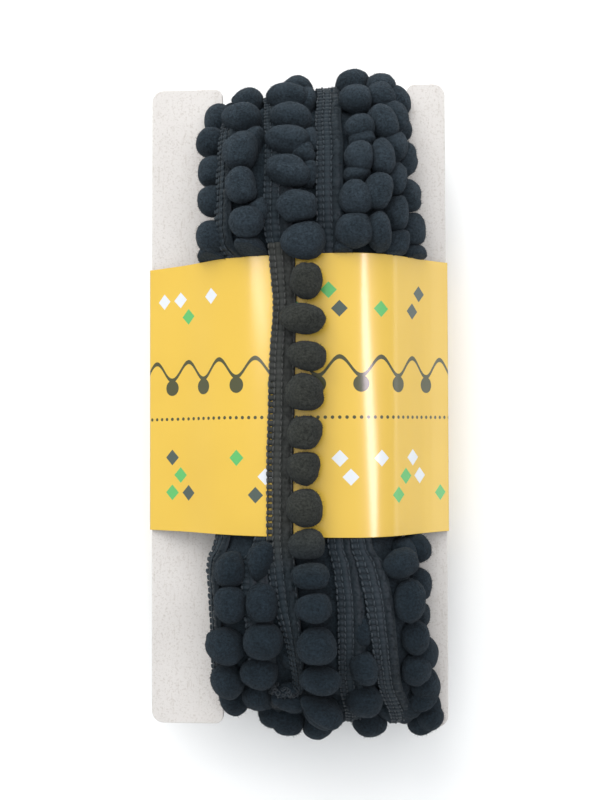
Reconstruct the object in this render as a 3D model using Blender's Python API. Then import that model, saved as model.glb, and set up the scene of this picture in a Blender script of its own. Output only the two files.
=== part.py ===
"""Pompom fringe trim wound lengthwise on a notched card, with a plain paper band
round the bundle and the trim's free end laid over the band.

The bundle lies on its back: X runs across the card, Y along it, Z up. The origin is
the middle of the underside. Sizes are in millimetres and become metres in vec().
"""
import math

import bmesh
import bpy
from mathutils import Vector

MM = 0.001
GAP = 0.3

CARD_WIDTH = 88.0
CARD_LENGTH = 190.0
CARD_THICK = 1.8
CARD_CORNER = 3.6
CORNER_STEPS = 4
NOTCH_LEFT = -22.5
NOTCH_RIGHT = 32.7
NOTCH_DEPTH = 18.0
CARD_LIFT = 24.0

BAND_TOP = 41.4
BAND_BOTTOM = -37.5
BAND_THICK = 1.0
BAND_STEPS = 3

POMPOM_PITCH = 10.4
POMPOM_ALONG = 5.2
POMPOM_DEEP = 4.6
POMPOM_DEEP_BACK = 3.5
POMPOM_LIFT = 1.0
POMPOM_LIFT_BACK = 0.3
POMPOM_SEGMENTS = 10
POMPOM_RINGS = 6
# Past the tip the pompoms shrink to their sizes at the back between these two stations.
SHRINK_FROM = 8.0
SHRINK_TO = 12.0

BRAID_WIDTH = 8.0
BRAID_SUNK = 0.9
CORE_INSET = 1.6
RUN_STEPS = 24
WINDING_VOXEL = 0.9
WINDING_FACES = 0.055

NECK_REACH = CARD_LENGTH / 2 - NOTCH_DEPTH + GAP
NECK_HEIGHT = CARD_THICK / 2 + GAP
END_ROUNDING = 0.5
END_SLANT_TOP = 4.0
END_SLANT_BOTTOM = 5.0
END_SLANT_SPAN = 0.45

# Steps along a run and round a section: for reading a direction, and for walking a run.
PLACE_STEP = 0.05
ACROSS_STEP = 0.4
WALK_STEP = 0.02
FREE_WALK_STEP = 0.01

# One end of the bundle, from under the band in front, over the end, to under the band
# at the back. reach is the distance from the card's middle along Y, height is above the
# card's mid-plane, left and right are the bundle's sides, free is 0 inside the band.
STATION_COLUMNS = (
    "reach", "height", "left_top", "right_top", "left_bottom", "right_bottom", "free",
)
STATIONS = (
    (2.0, 22.6, -24.0, 32.5, -24.0, 32.5, 0.0),
    (36.0, 22.6, -24.0, 32.5, -24.0, 32.5, 0.0),
    (45.0, 23.4, -25.2, 32.8, -26.2, 34.5, 0.8),
    (54.0, 24.6, -24.8, 32.2, -26.0, 35.5, 1.0),
    (64.0, 23.6, -24.5, 31.8, -25.4, 36.0, 1.0),
    (73.0, 20.2, -24.5, 31.8, -25.0, 37.0, 1.0),
    (81.0, 15.3, -24.0, 30.5, -25.0, 38.0, 1.0),
    (88.5, 9.0, -23.0, 30.0, -24.0, 39.0, 1.0),
    (92.6, 4.4, -22.5, 29.0, -23.0, 38.5, 1.0),
    (94.0, 0.0, -22.0, 28.5, -22.0, 36.0, 1.0),
    (92.6, -4.4, -22.0, 28.5, -22.0, 34.5, 1.0),
    (88.5, -8.6, -22.5, 29.5, -23.0, 34.5, 1.0),
    (81.0, -13.8, -23.5, 31.5, -24.0, 35.0, 1.0),
    (73.0, -17.4, -24.5, 32.5, -24.5, 35.0, 1.0),
    (64.0, -19.3, -24.5, 33.0, -25.0, 34.5, 1.0),
    (54.0, -19.8, -25.0, 33.0, -25.5, 34.0, 1.0),
    (45.0, -20.2, -25.0, 33.0, -25.5, 33.5, 0.8),
    (36.0, -22.0, -24.0, 32.5, -24.0, 32.5, 0.0),
    (2.0, -22.0, -24.0, 32.5, -24.0, 32.5, 0.0),
)
FRONT_EDGE = 2
CREST = 5.5
TIP = 9
BACK_EDGE = 16
END_REACH = STATIONS[TIP][0] - NECK_REACH

# The bundle's section from the foot of its left side, over its top, to the foot of its
# right side. side is the share of its width and rise the share of its height.
SECTION_COLUMNS = ("free_side", "free_rise", "band_side", "band_rise")
SECTION = (
    (0.02, 0.10, 0.000, 0.10),
    (0.00, 0.35, 0.018, 0.34),
    (0.02, 0.62, 0.080, 0.58),
    (0.10, 0.88, 0.168, 0.76),
    (0.22, 0.98, 0.300, 0.89),
    (0.50, 1.00, 0.500, 0.97),
    (0.73, 1.00, 0.720, 1.00),
    (0.87, 0.93, 0.825, 0.95),
    (0.95, 0.75, 0.893, 0.78),
    (1.00, 0.45, 0.973, 0.45),
    (0.99, 0.10, 1.000, 0.10),
)
SECTION_WIDTH = 57.0
SECTION_HEIGHT = 25.5

# The turns of trim that show. end is 1 at the top and -1 at the bottom. The four places
# are the braid's middle, measured in millimetres round the bundle's section from its left
# foot: at the band in front, at the front's crest, at the end and at the back. The two
# offsets go from there to the pompoms, at the band and past the crest. start is the first
# pompom's distance from the band, and half is a pompom's radius across the trim.
TURN_COLUMNS = (
    "end", "band", "crest", "tip", "back", "offset_band", "offset_end", "start", "half", "braid",
)
TURNS = (
    (1, 0.5, 2.0, 2.0, 3.0, 8.0, 8.0, 2.0, 4.9, True),
    (1, 20.0, 20.5, 19.0, 17.0, 8.5, 8.5, 6.0, 5.1, True),
    (1, 37.6, 37.3, 32.8, 30.5, 8.0, 5.5, 0.3, 5.8, True),
    (1, 51.5, 51.5, 50.8, 44.5, 8.0, 8.5, 2.5, 4.8, True),
    (1, 55.2, 57.0, 60.5, 58.5, 8.5, 8.5, 3.4, 4.8, False),
    (1, 62.0, 61.0, 65.5, 68.0, 8.5, 8.5, 7.0, 4.7, False),
    (1, 75.0, 69.0, 71.5, 76.0, 8.5, 8.5, 5.3, 4.7, False),
    (-1, 12.0, 12.5, 10.0, 5.0, 8.5, 8.5, 60.0, 4.8, True),
    (-1, 21.5, 22.5, 18.5, 17.0, 5.0, 1.5, 0.6, 5.0, True),
    (-1, 31.0, 32.0, 30.5, 31.0, 4.0, 1.5, 0.1, 5.2, True),
    (-1, 43.0, 43.0, 39.0, 45.0, 4.0, 4.0, 48.0, 5.4, False),
    (-1, 54.8, 55.0, 54.2, 56.0, 5.0, 4.5, 9.3, 4.8, True),
    (-1, 61.6, 65.2, 67.4, 68.0, 8.0, 9.5, 0.1, 4.9, True),
    (-1, 74.5, 73.0, 74.0, 77.0, 8.0, 8.0, 7.0, 4.7, False),
)


def named(columns, row):
    return dict(zip(columns, row))


def lerp(low, high, share):
    return low + (high - low) * share


def spline(rows, place):
    """Read a table of rows at a fractional row number, on a smooth curve through them."""
    last = len(rows) - 1
    index = min(max(int(place), 0), last - 1)
    t = place - index
    before = rows[max(index - 1, 0)]
    after = rows[min(index + 2, last)]
    values = []
    for a, b, c, d in zip(before, rows[index], rows[index + 1], after):
        bend = (2 * a - 5 * b + 4 * c - d) * t * t + (3 * b - a - 3 * c + d) * t ** 3
        values.append(0.5 * (2 * b + (c - a) * t + bend))
    return values


def section_lengths():
    """Distance round the section from its left foot to each of its rows."""
    lengths = [0.0]
    for one, two in zip(SECTION, SECTION[1:]):
        step_x = (two[0] - one[0]) * SECTION_WIDTH
        step_z = (two[1] - one[1]) * SECTION_HEIGHT
        lengths.append(lengths[-1] + math.hypot(step_x, step_z))
    return lengths


SECTION_LENGTHS = section_lengths()


def section_at(across):
    """The section's shares at a distance round it."""
    across = min(max(across, 0.0), SECTION_LENGTHS[-1])
    index = 0
    while across > SECTION_LENGTHS[index + 1]:
        index += 1
    step = SECTION_LENGTHS[index + 1] - SECTION_LENGTHS[index]
    place = index + (across - SECTION_LENGTHS[index]) / step
    return named(SECTION_COLUMNS, spline(SECTION, place))


def surface(end, place, across):
    """A point of the bundle's surface at a station number and a distance round it."""
    station = named(STATION_COLUMNS, spline(STATIONS, place))
    section = section_at(across)
    side = lerp(section["band_side"], section["free_side"], station["free"])
    rise = lerp(section["band_rise"], section["free_rise"], station["free"])
    left = station["left_top"] if end > 0 else station["left_bottom"]
    right = station["right_top"] if end > 0 else station["right_bottom"]
    neck = min(station["reach"], NECK_REACH)
    beyond = station["reach"] - neck
    slant = END_SLANT_TOP if end > 0 else END_SLANT_BOTTOM
    crop = slant * max(1.0 - side / END_SLANT_SPAN, 0.0) / END_REACH
    reach = neck + beyond * (1.0 - END_ROUNDING * (1.0 - rise) - crop)
    foot = math.copysign(NECK_HEIGHT, station["height"]) if station["height"] else 0.0
    height = lerp(foot, station["height"], rise)
    return Vector((lerp(left, right, side), end * reach, height + CARD_LIFT))


def frame_at(end, place, across):
    """Point, outward normal, direction along the turn and direction across it."""
    point = surface(end, place, across)
    ahead = surface(end, min(place + PLACE_STEP, len(STATIONS) - 1), across)
    behind = surface(end, max(place - PLACE_STEP, 0.0), across)
    right = surface(end, place, min(across + ACROSS_STEP, SECTION_LENGTHS[-1]))
    left = surface(end, place, max(across - ACROSS_STEP, 0.0))
    along = (ahead - behind).normalized()
    sideways = right - left
    sideways = (sideways - along * sideways.dot(along)).normalized()
    normal = sideways.cross(along) * end
    return point, normal, along, sideways


def vec(point):
    return Vector(point) * MM


def new_object(name, mesh, material):
    thing = bpy.data.objects.new(name, mesh)
    bpy.context.scene.collection.objects.link(thing)
    mesh.materials.append(material)
    return thing


def make_material(name, colour, roughness):
    material = bpy.data.materials.new(name)
    material.use_nodes = True
    shader = material.node_tree.nodes["Principled BSDF"]
    shader.inputs["Base Color"].default_value = (*colour, 1.0)
    shader.inputs["Roughness"].default_value = roughness
    shader.inputs["Metallic"].default_value = 0.0
    return material


def finish_mesh(bm, name):
    bmesh.ops.recalc_face_normals(bm, faces=bm.faces)
    bmesh.ops.triangulate(bm, faces=bm.faces)
    mesh = bpy.data.meshes.new(name)
    bm.to_mesh(mesh)
    bm.free()
    return mesh


def add_grid(bm, rings):
    """Skin a list of closed rings of points end to end and cap both ends."""
    loops = [[bm.verts.new(vec(point)) for point in ring] for ring in rings]
    count = len(loops[0])
    for one, two in zip(loops, loops[1:]):
        for i in range(count):
            j = (i + 1) % count
            bm.faces.new((one[i], one[j], two[j], two[i]))
    bm.faces.new(loops[0])
    bm.faces.new(loops[-1])


def add_lump(bm, centre, axes, radii, segments, ring_count):
    """A rounded lump with its poles on the first axis."""
    pole, second, third = axes
    ends = [bm.verts.new(vec(centre + pole * radii[0] * sign)) for sign in (1, -1)]
    rings = []
    for ring in range(1, ring_count):
        tilt = math.pi * ring / ring_count
        verts = []
        for segment in range(segments):
            turn = 2 * math.pi * segment / segments
            out = second * radii[1] * math.cos(turn) + third * radii[2] * math.sin(turn)
            point = centre + pole * radii[0] * math.cos(tilt) + out * math.sin(tilt)
            verts.append(bm.verts.new(vec(point)))
        rings.append(verts)
    for i in range(segments):
        j = (i + 1) % segments
        bm.faces.new((ends[0], rings[0][i], rings[0][j]))
        for one, two in zip(rings, rings[1:]):
            bm.faces.new((one[i], two[i], two[j], one[j]))
        bm.faces.new((ends[1], rings[-1][j], rings[-1][i]))


def extrude_outline(bm, outline, axis, low, high):
    """A prism of an outline drawn across one axis: X, Y outlines for Z, X, Z for Y."""
    ends = []
    for level in (low, high):
        ring = []
        for first, second in outline:
            point = (first, second, level) if axis == "Z" else (first, level, second)
            ring.append(bm.verts.new(vec(point)))
        ends.append(ring)
    count = len(outline)
    for i in range(count):
        j = (i + 1) % count
        bm.faces.new((ends[0][i], ends[0][j], ends[1][j], ends[1][i]))
    bm.faces.new(ends[0])
    bm.faces.new(ends[1])


# ---- card ----

def card_outline(grow):
    """The card's outline, its corners rounded and a wide notch cut in each end."""
    half_x = CARD_WIDTH / 2 + grow
    half_y = CARD_LENGTH / 2 + grow
    radius = CARD_CORNER + grow
    left = NOTCH_LEFT + grow
    right = NOTCH_RIGHT - grow
    floor = CARD_LENGTH / 2 - NOTCH_DEPTH + grow
    points = []
    for sign_x, sign_y, start in ((1, 1, 0), (-1, 1, 90), (-1, -1, 180), (1, -1, 270)):
        for step in range(CORNER_STEPS + 1):
            angle = math.radians(start + 90.0 * step / CORNER_STEPS)
            x = sign_x * (half_x - radius) + radius * math.cos(angle)
            y = sign_y * (half_y - radius) + radius * math.sin(angle)
            points.append((x, y))
        if start == 0:
            points += [(right, half_y), (right, floor), (left, floor), (left, half_y)]
        if start == 180:
            points += [(left, -half_y), (left, -floor), (right, -floor), (right, -half_y)]
    return points


def card_mesh(name, grow):
    bm = bmesh.new()
    half = CARD_THICK / 2 + grow
    extrude_outline(bm, card_outline(grow), "Z", CARD_LIFT - half, CARD_LIFT + half)
    return finish_mesh(bm, name)


# ---- band ----

# The band's section, clockwise from the card's left edge: across the card and above its
# mid-plane. It folds round the card's edges, bridges to the bundle and crosses its crown.
# The two rows at the lowest height are the ends of the flat that the bundle lies on.
BAND_SECTION = (
    (-45.4, 1.7), (-33.5, 7.0), (-22.6, 14.4), (-14.0, 18.8), (-5.0, 21.4), (5.0, 22.8),
    (14.0, 23.4), (21.0, 22.6), (27.5, 19.0), (32.6, 13.8), (38.2, 7.6), (45.4, 1.7),
    (45.4, -1.7), (36.0, -12.0), (28.5, -20.8), (22.0, -CARD_LIFT), (-14.0, -CARD_LIFT),
    (-22.0, -20.5), (-32.0, -11.5), (-45.4, -1.7),
)
BAND_SHARP = (0, 11, 12, 15, 16, 19)


def band_curve():
    """The band's outer line: smooth runs between the folds and the ends of the flat."""
    points = []
    count = len(BAND_SECTION)
    for one, two in zip(BAND_SHARP, BAND_SHARP[1:] + (count,)):
        run = [BAND_SECTION[i % count] for i in range(one, two + 1)]
        steps = BAND_STEPS * (len(run) - 1) if len(run) > 2 else 1
        for step in range(steps):
            points.append(Vector(spline(run, (len(run) - 1) * step / steps)))
    return points


def band_outline(inset):
    """The band's outer line moved inwards, as X and Z."""
    corners = band_curve()
    points = []
    for i, here in enumerate(corners):
        back = (here - corners[i - 1]).normalized()
        ahead = (corners[(i + 1) % len(corners)] - here).normalized()
        out_back = Vector((-back.y, back.x))
        bisector = (out_back + Vector((-ahead.y, ahead.x))).normalized()
        shifted = here - bisector * inset / bisector.dot(out_back)
        points.append((shifted.x, shifted.y + CARD_LIFT))
    return points


def band_mesh(name, grow):
    """The band as a closed tube of paper; grow thickens it all round as a cutter."""
    bm = bmesh.new()
    outer = band_outline(-grow)
    inner = band_outline(BAND_THICK + grow)
    loops = []
    for level in (BAND_BOTTOM - grow, BAND_TOP + grow):
        for outline in (outer, inner):
            loops.append([bm.verts.new(vec((x, level, z))) for x, z in outline])
    low_outer, low_inner, high_outer, high_inner = loops
    count = len(outer)
    for i in range(count):
        j = (i + 1) % count
        for one, two in ((low_outer, high_outer), (high_inner, low_inner),
                         (low_inner, low_outer), (high_outer, high_inner)):
            bm.faces.new((one[i], one[j], two[j], two[i]))
    return finish_mesh(bm, name)


# ---- winding ----

def add_core(bm):
    """The wound form under the last turns, as one solid across the card."""
    last = len(STATIONS) - 1
    stops = [(1, place) for place in range(last + 1)]
    stops += [(-1, last - place) for place in range(last + 1)]
    rows = []
    for across in SECTION_LENGTHS:
        row = []
        for end, place in stops:
            point, normal, _, _ = frame_at(end, place, across)
            row.append(bm.verts.new(vec(point - normal * CORE_INSET)))
        rows.append(row)
    count = len(stops)
    for one, two in zip(rows, rows[1:]):
        for i in range(count):
            j = (i + 1) % count
            bm.faces.new((one[i], one[j], two[j], two[i]))
    for row in (rows[0], rows[-1]):
        for side in (row[:last + 1], row[last + 1:]):
            for i in range(last // 2):
                corners = (side[i], side[i + 1], side[last - i - 1], side[last - i])
                bm.faces.new(list(dict.fromkeys(corners)))
        bm.faces.new((row[0], row[last], row[last + 1], row[-1]))


def turn_across(turn, place):
    """Where a turn's braid lies round the section at a station number."""
    knots = (turn["band"], turn["crest"], turn["tip"], turn["back"])
    stops = (FRONT_EDGE, CREST, TIP, BACK_EDGE)
    index = 0
    while index < 2 and place > stops[index + 1]:
        index += 1
    share = (place - stops[index]) / (stops[index + 1] - stops[index])
    return spline([(knot,) for knot in knots], index + share)[0]


def pompom_across(turn, place):
    """Where a turn's pompoms lie round the section at a station number."""
    share = min((place - FRONT_EDGE) / (CREST - FRONT_EDGE), 1.0)
    return turn_across(turn, place) + lerp(turn["offset_band"], turn["offset_end"], share)


def turn_places(turn):
    """Station numbers of the pompoms, a pitch apart along the turn."""
    places = []
    place = float(FRONT_EDGE)
    travelled = 0.0
    wanted = turn["start"]
    point = surface(turn["end"], place, pompom_across(turn, place))
    while place < BACK_EDGE:
        place += WALK_STEP
        following = surface(turn["end"], place, pompom_across(turn, place))
        travelled += (following - point).length
        point = following
        if travelled >= wanted:
            places.append(place)
            wanted += POMPOM_PITCH
    return places


def add_turn_braid(bm, turn):
    half = BRAID_WIDTH / 2
    rings = []
    for step in range(RUN_STEPS):
        place = lerp(FRONT_EDGE, BACK_EDGE, step / (RUN_STEPS - 1))
        middle = turn_across(turn, place)
        tops = []
        feet = []
        for shift in (-half, 0.0, half):
            point, normal, _, _ = frame_at(turn["end"], place, middle + shift)
            tops.append(point)
            feet.append(point - normal * (CORE_INSET + BRAID_SUNK))
        rings.append(tops + feet[::-1])
    add_grid(bm, rings)


def add_turn_pompoms(bm, turn):
    for place in turn_places(turn):
        across = pompom_across(turn, place)
        point, normal, along, sideways = frame_at(turn["end"], place, across)
        back = min(max((place - SHRINK_FROM) / (SHRINK_TO - SHRINK_FROM), 0.0), 1.0)
        lift = lerp(POMPOM_LIFT, POMPOM_LIFT_BACK, back)
        deep = lerp(POMPOM_DEEP, POMPOM_DEEP_BACK, back)
        radii = (POMPOM_ALONG, turn["half"], deep)
        centre = point + normal * lift
        add_lump(bm, centre, (along, sideways, normal), radii, POMPOM_SEGMENTS, POMPOM_RINGS)


def winding_mesh():
    bm = bmesh.new()
    add_core(bm)
    for row in TURNS:
        turn = named(TURN_COLUMNS, row)
        if turn["braid"]:
            add_turn_braid(bm, turn)
        add_turn_pompoms(bm, turn)
    return finish_mesh(bm, "winding")


# ---- free end ----

# The free end's braid from the band's top edge to its curled tip: the middle of its
# underside, the surface's slope under it, its roll and the share of its full width.
FREE_COLUMNS = ("x", "y", "under", "slope", "roll", "width")
FREE_END = (
    (-3.1, 44.8, 22.6, 0.0, 6.0, 1.0),
    (-2.7, 37.0, 21.6, 0.0, 10.0, 0.95),
    (-2.2, 27.0, 21.65, 0.0, 10.0, 0.88),
    (-2.9, 13.0, 21.5, 0.0, 10.0, 0.96),
    (-3.2, 0.0, 21.4, 0.0, 10.0, 1.0),
    (-3.6, -15.0, 21.35, 0.0, 10.0, 1.0),
    (-3.7, -30.0, 21.3, 0.0, 10.0, 1.0),
    (-3.6, -39.0, 21.7, 0.0, 8.0, 1.0),
    (-2.8, -48.0, 23.2, 2.0, 6.0, 1.0),
    (-1.9, -55.5, 23.4, 10.0, 10.0, 0.96),
    (-0.9, -61.0, 22.9, 14.0, 22.0, 0.82),
    (-0.1, -66.5, 21.6, 19.0, 30.0, 0.68),
    (0.5, -72.5, 19.2, 26.0, 34.0, 0.54),
    (0.8, -77.5, 16.6, 32.0, 36.0, 0.47),
    (0.1, -80.8, 14.8, 36.0, 30.0, 0.44),
    (-2.2, -82.2, 13.8, 38.0, 14.0, 0.42),
    (-4.6, -81.6, 14.2, 38.0, 6.0, 0.42),
)
FREE_THICK = 1.3
FREE_STEPS = 40

# The free end's pompoms, pressed against each other: distance down the braid, offset
# from its middle and radii across and along it.
FREE_POMPOM_COLUMNS = ("travelled", "offset", "across", "along")
FREE_POMPOMS = (
    (12.2, 8.0, 4.0, 5.0),
    (21.5, 7.1, 5.9, 4.2),
    (31.8, 8.5, 5.1, 4.2),
    (42.3, 8.4, 4.8, 5.2),
    (53.1, 8.4, 4.2, 5.2),
    (63.0, 8.3, 4.0, 4.8),
    (74.1, 8.6, 4.5, 5.2),
    (85.5, 8.9, 4.7, 4.3),
    (93.8, 8.9, 4.7, 4.0),
    (102.0, 9.5, 4.7, 4.1),
    (111.8, 8.5, 5.2, 5.2),
    (121.5, 8.2, 5.5, 3.8),
    (128.0, 9.7, 6.1, 3.0),
)
FREE_POMPOM_LIFT = 3.25
FREE_POMPOM_DEEP = 3.7
FREE_POMPOM_SEGMENTS = 8
FREE_POMPOM_RINGS = 6
FREE_POMPOM_ROLL = 12.0
# The knot that ties each one to the braid: offset, lift, radii along, across and upwards,
# and the lump's segments and rings.
FREE_KNOT = (4.2, 0.6, (1.4, 3.2, 1.1), 6, 4)


def free_frame(place):
    row = named(FREE_COLUMNS, spline(FREE_END, place))
    ahead = Vector(spline(FREE_END, min(place + PLACE_STEP, len(FREE_END) - 1))[:3])
    behind = Vector(spline(FREE_END, max(place - PLACE_STEP, 0.0))[:3])
    along = (ahead - behind).normalized()
    slope = math.radians(row["slope"])
    normal = Vector((0.0, -math.sin(slope), math.cos(slope)))
    normal = (normal - along * normal.dot(along)).normalized()
    point = Vector((row["x"], row["y"], row["under"] + CARD_LIFT))
    return point, normal, along, normal.cross(along), row


def free_middle(place):
    """The middle of the free end's braid and the axes along, across and out of it."""
    point, normal, along, sideways, row = free_frame(place)
    roll = math.radians(row["roll"])
    half = BRAID_WIDTH / 2 * row["width"]
    middle = point + normal * (FREE_THICK / 2 + half * math.sin(roll))
    return middle, along, turned(sideways, normal, roll), half


def turned(sideways, normal, roll):
    """The directions across a strip and out of it once it has rolled over."""
    wide = sideways * math.cos(roll) + normal * math.sin(roll)
    thick = normal * math.cos(roll) - sideways * math.sin(roll)
    return wide, thick


def free_strip_mesh(name, grow):
    """The free end's braid; grow swells it all round as a cutter."""
    bm = bmesh.new()
    last = len(FREE_END) - 1
    rings = []
    for step in range(FREE_STEPS + 1):
        middle, along, (wide, thick), half = free_middle(last * step / FREE_STEPS)
        if step in (0, FREE_STEPS):
            middle = middle + along * (grow if step else -grow)
        rings.append([
            middle + wide * (half + grow) * a + thick * (FREE_THICK / 2 + grow) * b
            for a, b in ((-1, -1), (1, -1), (1, 1), (-1, 1))
        ])
    add_grid(bm, rings)
    return finish_mesh(bm, name)


def free_places():
    """Places of the free end's pompoms on its braid, each with its row of the table."""
    places = []
    place = 0.0
    travelled = 0.0
    point = free_frame(place)[0]
    for row in FREE_POMPOMS:
        pompom = named(FREE_POMPOM_COLUMNS, row)
        while travelled < pompom["travelled"]:
            place += FREE_WALK_STEP
            following = free_frame(place)[0]
            travelled += (following - point).length
            point = following
        places.append((place, pompom))
    return places


def free_pompoms_mesh(name, grow):
    """The free end's pompoms and the knots that tie them to the braid's edge."""
    bm = bmesh.new()
    for place, pompom in free_places():
        _, normal, along, sideways, row = free_frame(place)
        middle = free_middle(place)[0]
        roll = math.radians(min(row["roll"], FREE_POMPOM_ROLL))
        wide, thick = turned(sideways, normal, roll)
        lump = (
            pompom["offset"], FREE_POMPOM_LIFT,
            (pompom["along"], pompom["across"], FREE_POMPOM_DEEP),
            FREE_POMPOM_SEGMENTS, FREE_POMPOM_RINGS,
        )
        for offset, lift, size, segments, ring_count in (lump, FREE_KNOT):
            centre = middle + wide * offset + thick * lift
            radii = [radius + grow for radius in size]
            add_lump(bm, centre, (along, wide, thick), radii, segments, ring_count)
    return finish_mesh(bm, name)


# ---- assembly ----

def add_boolean(thing, operation, cutter, solver):
    modifier = thing.modifiers.new(operation.title() + "_" + cutter.name, "BOOLEAN")
    modifier.operation = operation
    modifier.solver = solver
    modifier.object = cutter
    modifier.use_self = solver == "EXACT"


def as_guide(thing):
    thing.hide_render = True
    thing.display_type = "WIRE"
    return thing


def build():
    for thing in list(bpy.data.objects):
        bpy.data.objects.remove(thing)
    board = make_material("board", (0.78, 0.75, 0.72), 0.9)
    paper = make_material("band_paper", (0.92, 0.63, 0.13), 0.35)
    yarn = make_material("trim_yarn", (0.035, 0.042, 0.045), 0.95)
    loose = make_material("free_end_yarn", (0.045, 0.048, 0.046), 0.95)

    new_object("card", card_mesh("card", 0.0), board)
    new_object("band", band_mesh("band", 0.0), paper)

    free_end = new_object("free_end", free_strip_mesh("free_end", 0.0), loose)
    lumps = as_guide(new_object("free_pompoms", free_pompoms_mesh("free_pompoms", 0.0), loose))
    add_boolean(free_end, "UNION", lumps, "EXACT")

    winding = new_object("winding", winding_mesh(), yarn)
    fuse = winding.modifiers.new("Fuse_turns", "REMESH")
    fuse.mode = "VOXEL"
    fuse.voxel_size = WINDING_VOXEL * MM
    thin = winding.modifiers.new("Thin_faces", "DECIMATE")
    thin.ratio = WINDING_FACES
    rooms = (
        card_mesh("card_room", GAP),
        band_mesh("band_room", GAP),
        free_strip_mesh("free_strip_room", GAP),
        free_pompoms_mesh("free_pompoms_room", GAP),
    )
    for room in rooms:
        add_boolean(winding, "DIFFERENCE", as_guide(new_object(room.name, room, board)), "MANIFOLD")


build()
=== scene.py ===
"""Pompom fringe trim wound on a card: knitted braids, felted pompoms, a glossy paper
band and the board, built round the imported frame. Sizes are in millimetres, in the
frame's axes, and become metres where a mesh is made.
"""
import math
from collections import namedtuple
from functools import partialmethod

import bmesh
import bpy
import numpy as np
from mathutils import Matrix, Vector


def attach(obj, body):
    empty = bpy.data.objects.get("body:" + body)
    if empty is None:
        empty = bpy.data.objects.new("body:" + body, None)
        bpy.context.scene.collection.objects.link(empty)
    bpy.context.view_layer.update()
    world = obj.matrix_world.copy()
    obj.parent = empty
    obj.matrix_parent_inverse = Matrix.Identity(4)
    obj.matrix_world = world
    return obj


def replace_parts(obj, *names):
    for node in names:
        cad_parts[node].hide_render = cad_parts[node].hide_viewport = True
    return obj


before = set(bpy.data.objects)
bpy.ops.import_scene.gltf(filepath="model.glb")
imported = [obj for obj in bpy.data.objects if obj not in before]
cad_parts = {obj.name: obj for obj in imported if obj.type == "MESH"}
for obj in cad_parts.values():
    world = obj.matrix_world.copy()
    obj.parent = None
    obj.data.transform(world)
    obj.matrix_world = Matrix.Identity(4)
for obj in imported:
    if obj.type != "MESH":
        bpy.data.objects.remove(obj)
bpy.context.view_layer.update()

MM = 0.001
SEED = 11
TURN = 2 * math.pi

# ---- sizes and tables ----

CARD_WIDTH, CARD_LENGTH, CARD_THICK = 88, 190, 1.8
CARD_CORNERS = (3.6, 2.4, 0.8)
CARD_BEVEL = 0.25
CARD_LIFT = 24
NOTCH_LEFT, NOTCH_RIGHT, NOTCH_DEPTH = -22.5, 32.7, 18
GAP = 0.3
BAND_TOP, BAND_BOTTOM = 41.4, -37.5
NECK_REACH = CARD_LENGTH / 2 - NOTCH_DEPTH + GAP
NECK_HEIGHT = CARD_THICK / 2 + GAP
END_ROUNDING = 0.5
END_SLANT_SPAN = 0.45
POMPOM_PITCH = 10.4
BRAID_HALF = 4

# reach, height, left_top, right_top, left_bottom, right_bottom, free
STATIONS = np.array((
    (2, 22.6, -24, 32.5, -24, 32.5, 0), (36, 22.6, -24, 32.5, -26.4, 32.5, 0),
    (45, 23.4, -25.2, 32.8, -26.6, 34.5, 0.8), (54, 24.6, -24.8, 32.2, -25.6, 35.5, 1),
    (64, 23.6, -24.5, 31.8, -25, 35.4, 1), (73, 20.2, -24.5, 31.8, -25, 35.2, 1),
    (81, 15.3, -24, 30.5, -25, 35.6, 1), (88.5, 9, -23, 30, -24, 37.6, 1),
    (92.6, 4.4, -22.5, 29, -23, 37.6, 1), (94, 0, -22, 28.5, -22, 36, 1),
    (92.6, -4.4, -22, 28.5, -22, 34.5, 1), (88.5, -8.6, -22.5, 29.5, -23, 34.5, 1),
    (81, -13.8, -23.5, 31.5, -24, 35, 1), (73, -17.4, -24.5, 32.5, -24.5, 35, 1),
    (64, -19.3, -24.5, 33, -25, 34.5, 1), (54, -19.8, -25, 33, -25.5, 34, 1),
    (45, -20.2, -25, 33, -25.5, 33.5, 0.8), (36, -22, -24, 32.5, -24, 32.5, 0),
    (2, -22, -24, 32.5, -24, 32.5, 0),
))
REACH, HEIGHT, LEFT_TOP, RIGHT_TOP, LEFT_BOTTOM, RIGHT_BOTTOM, FREE = range(7)
# Each end's columns for its sides, and how far it slants.
END_SIDES = {1: (LEFT_TOP, RIGHT_TOP, 4), -1: (LEFT_BOTTOM, RIGHT_BOTTOM, 5)}
FRONT_EDGE, CREST, TIP, BACK_EDGE = 2, 5.5, 9, 16
END_REACH = STATIONS[TIP][REACH] - NECK_REACH

# free_side, free_rise, band_side, band_rise
SECTION = np.array((
    (0.02, 0.1, 0, 0.1), (0, 0.35, 0.018, 0.34), (0.02, 0.62, 0.08, 0.58),
    (0.1, 0.88, 0.168, 0.76), (0.22, 0.98, 0.3, 0.89), (0.5, 1, 0.5, 0.97), (0.73, 1, 0.72, 1),
    (0.87, 0.93, 0.825, 0.95), (0.95, 0.75, 0.893, 0.78), (1, 0.45, 0.973, 0.45),
    (0.99, 0.1, 1, 0.1),
))
SECTION_SIZE = np.array((57, 25.5))

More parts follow.
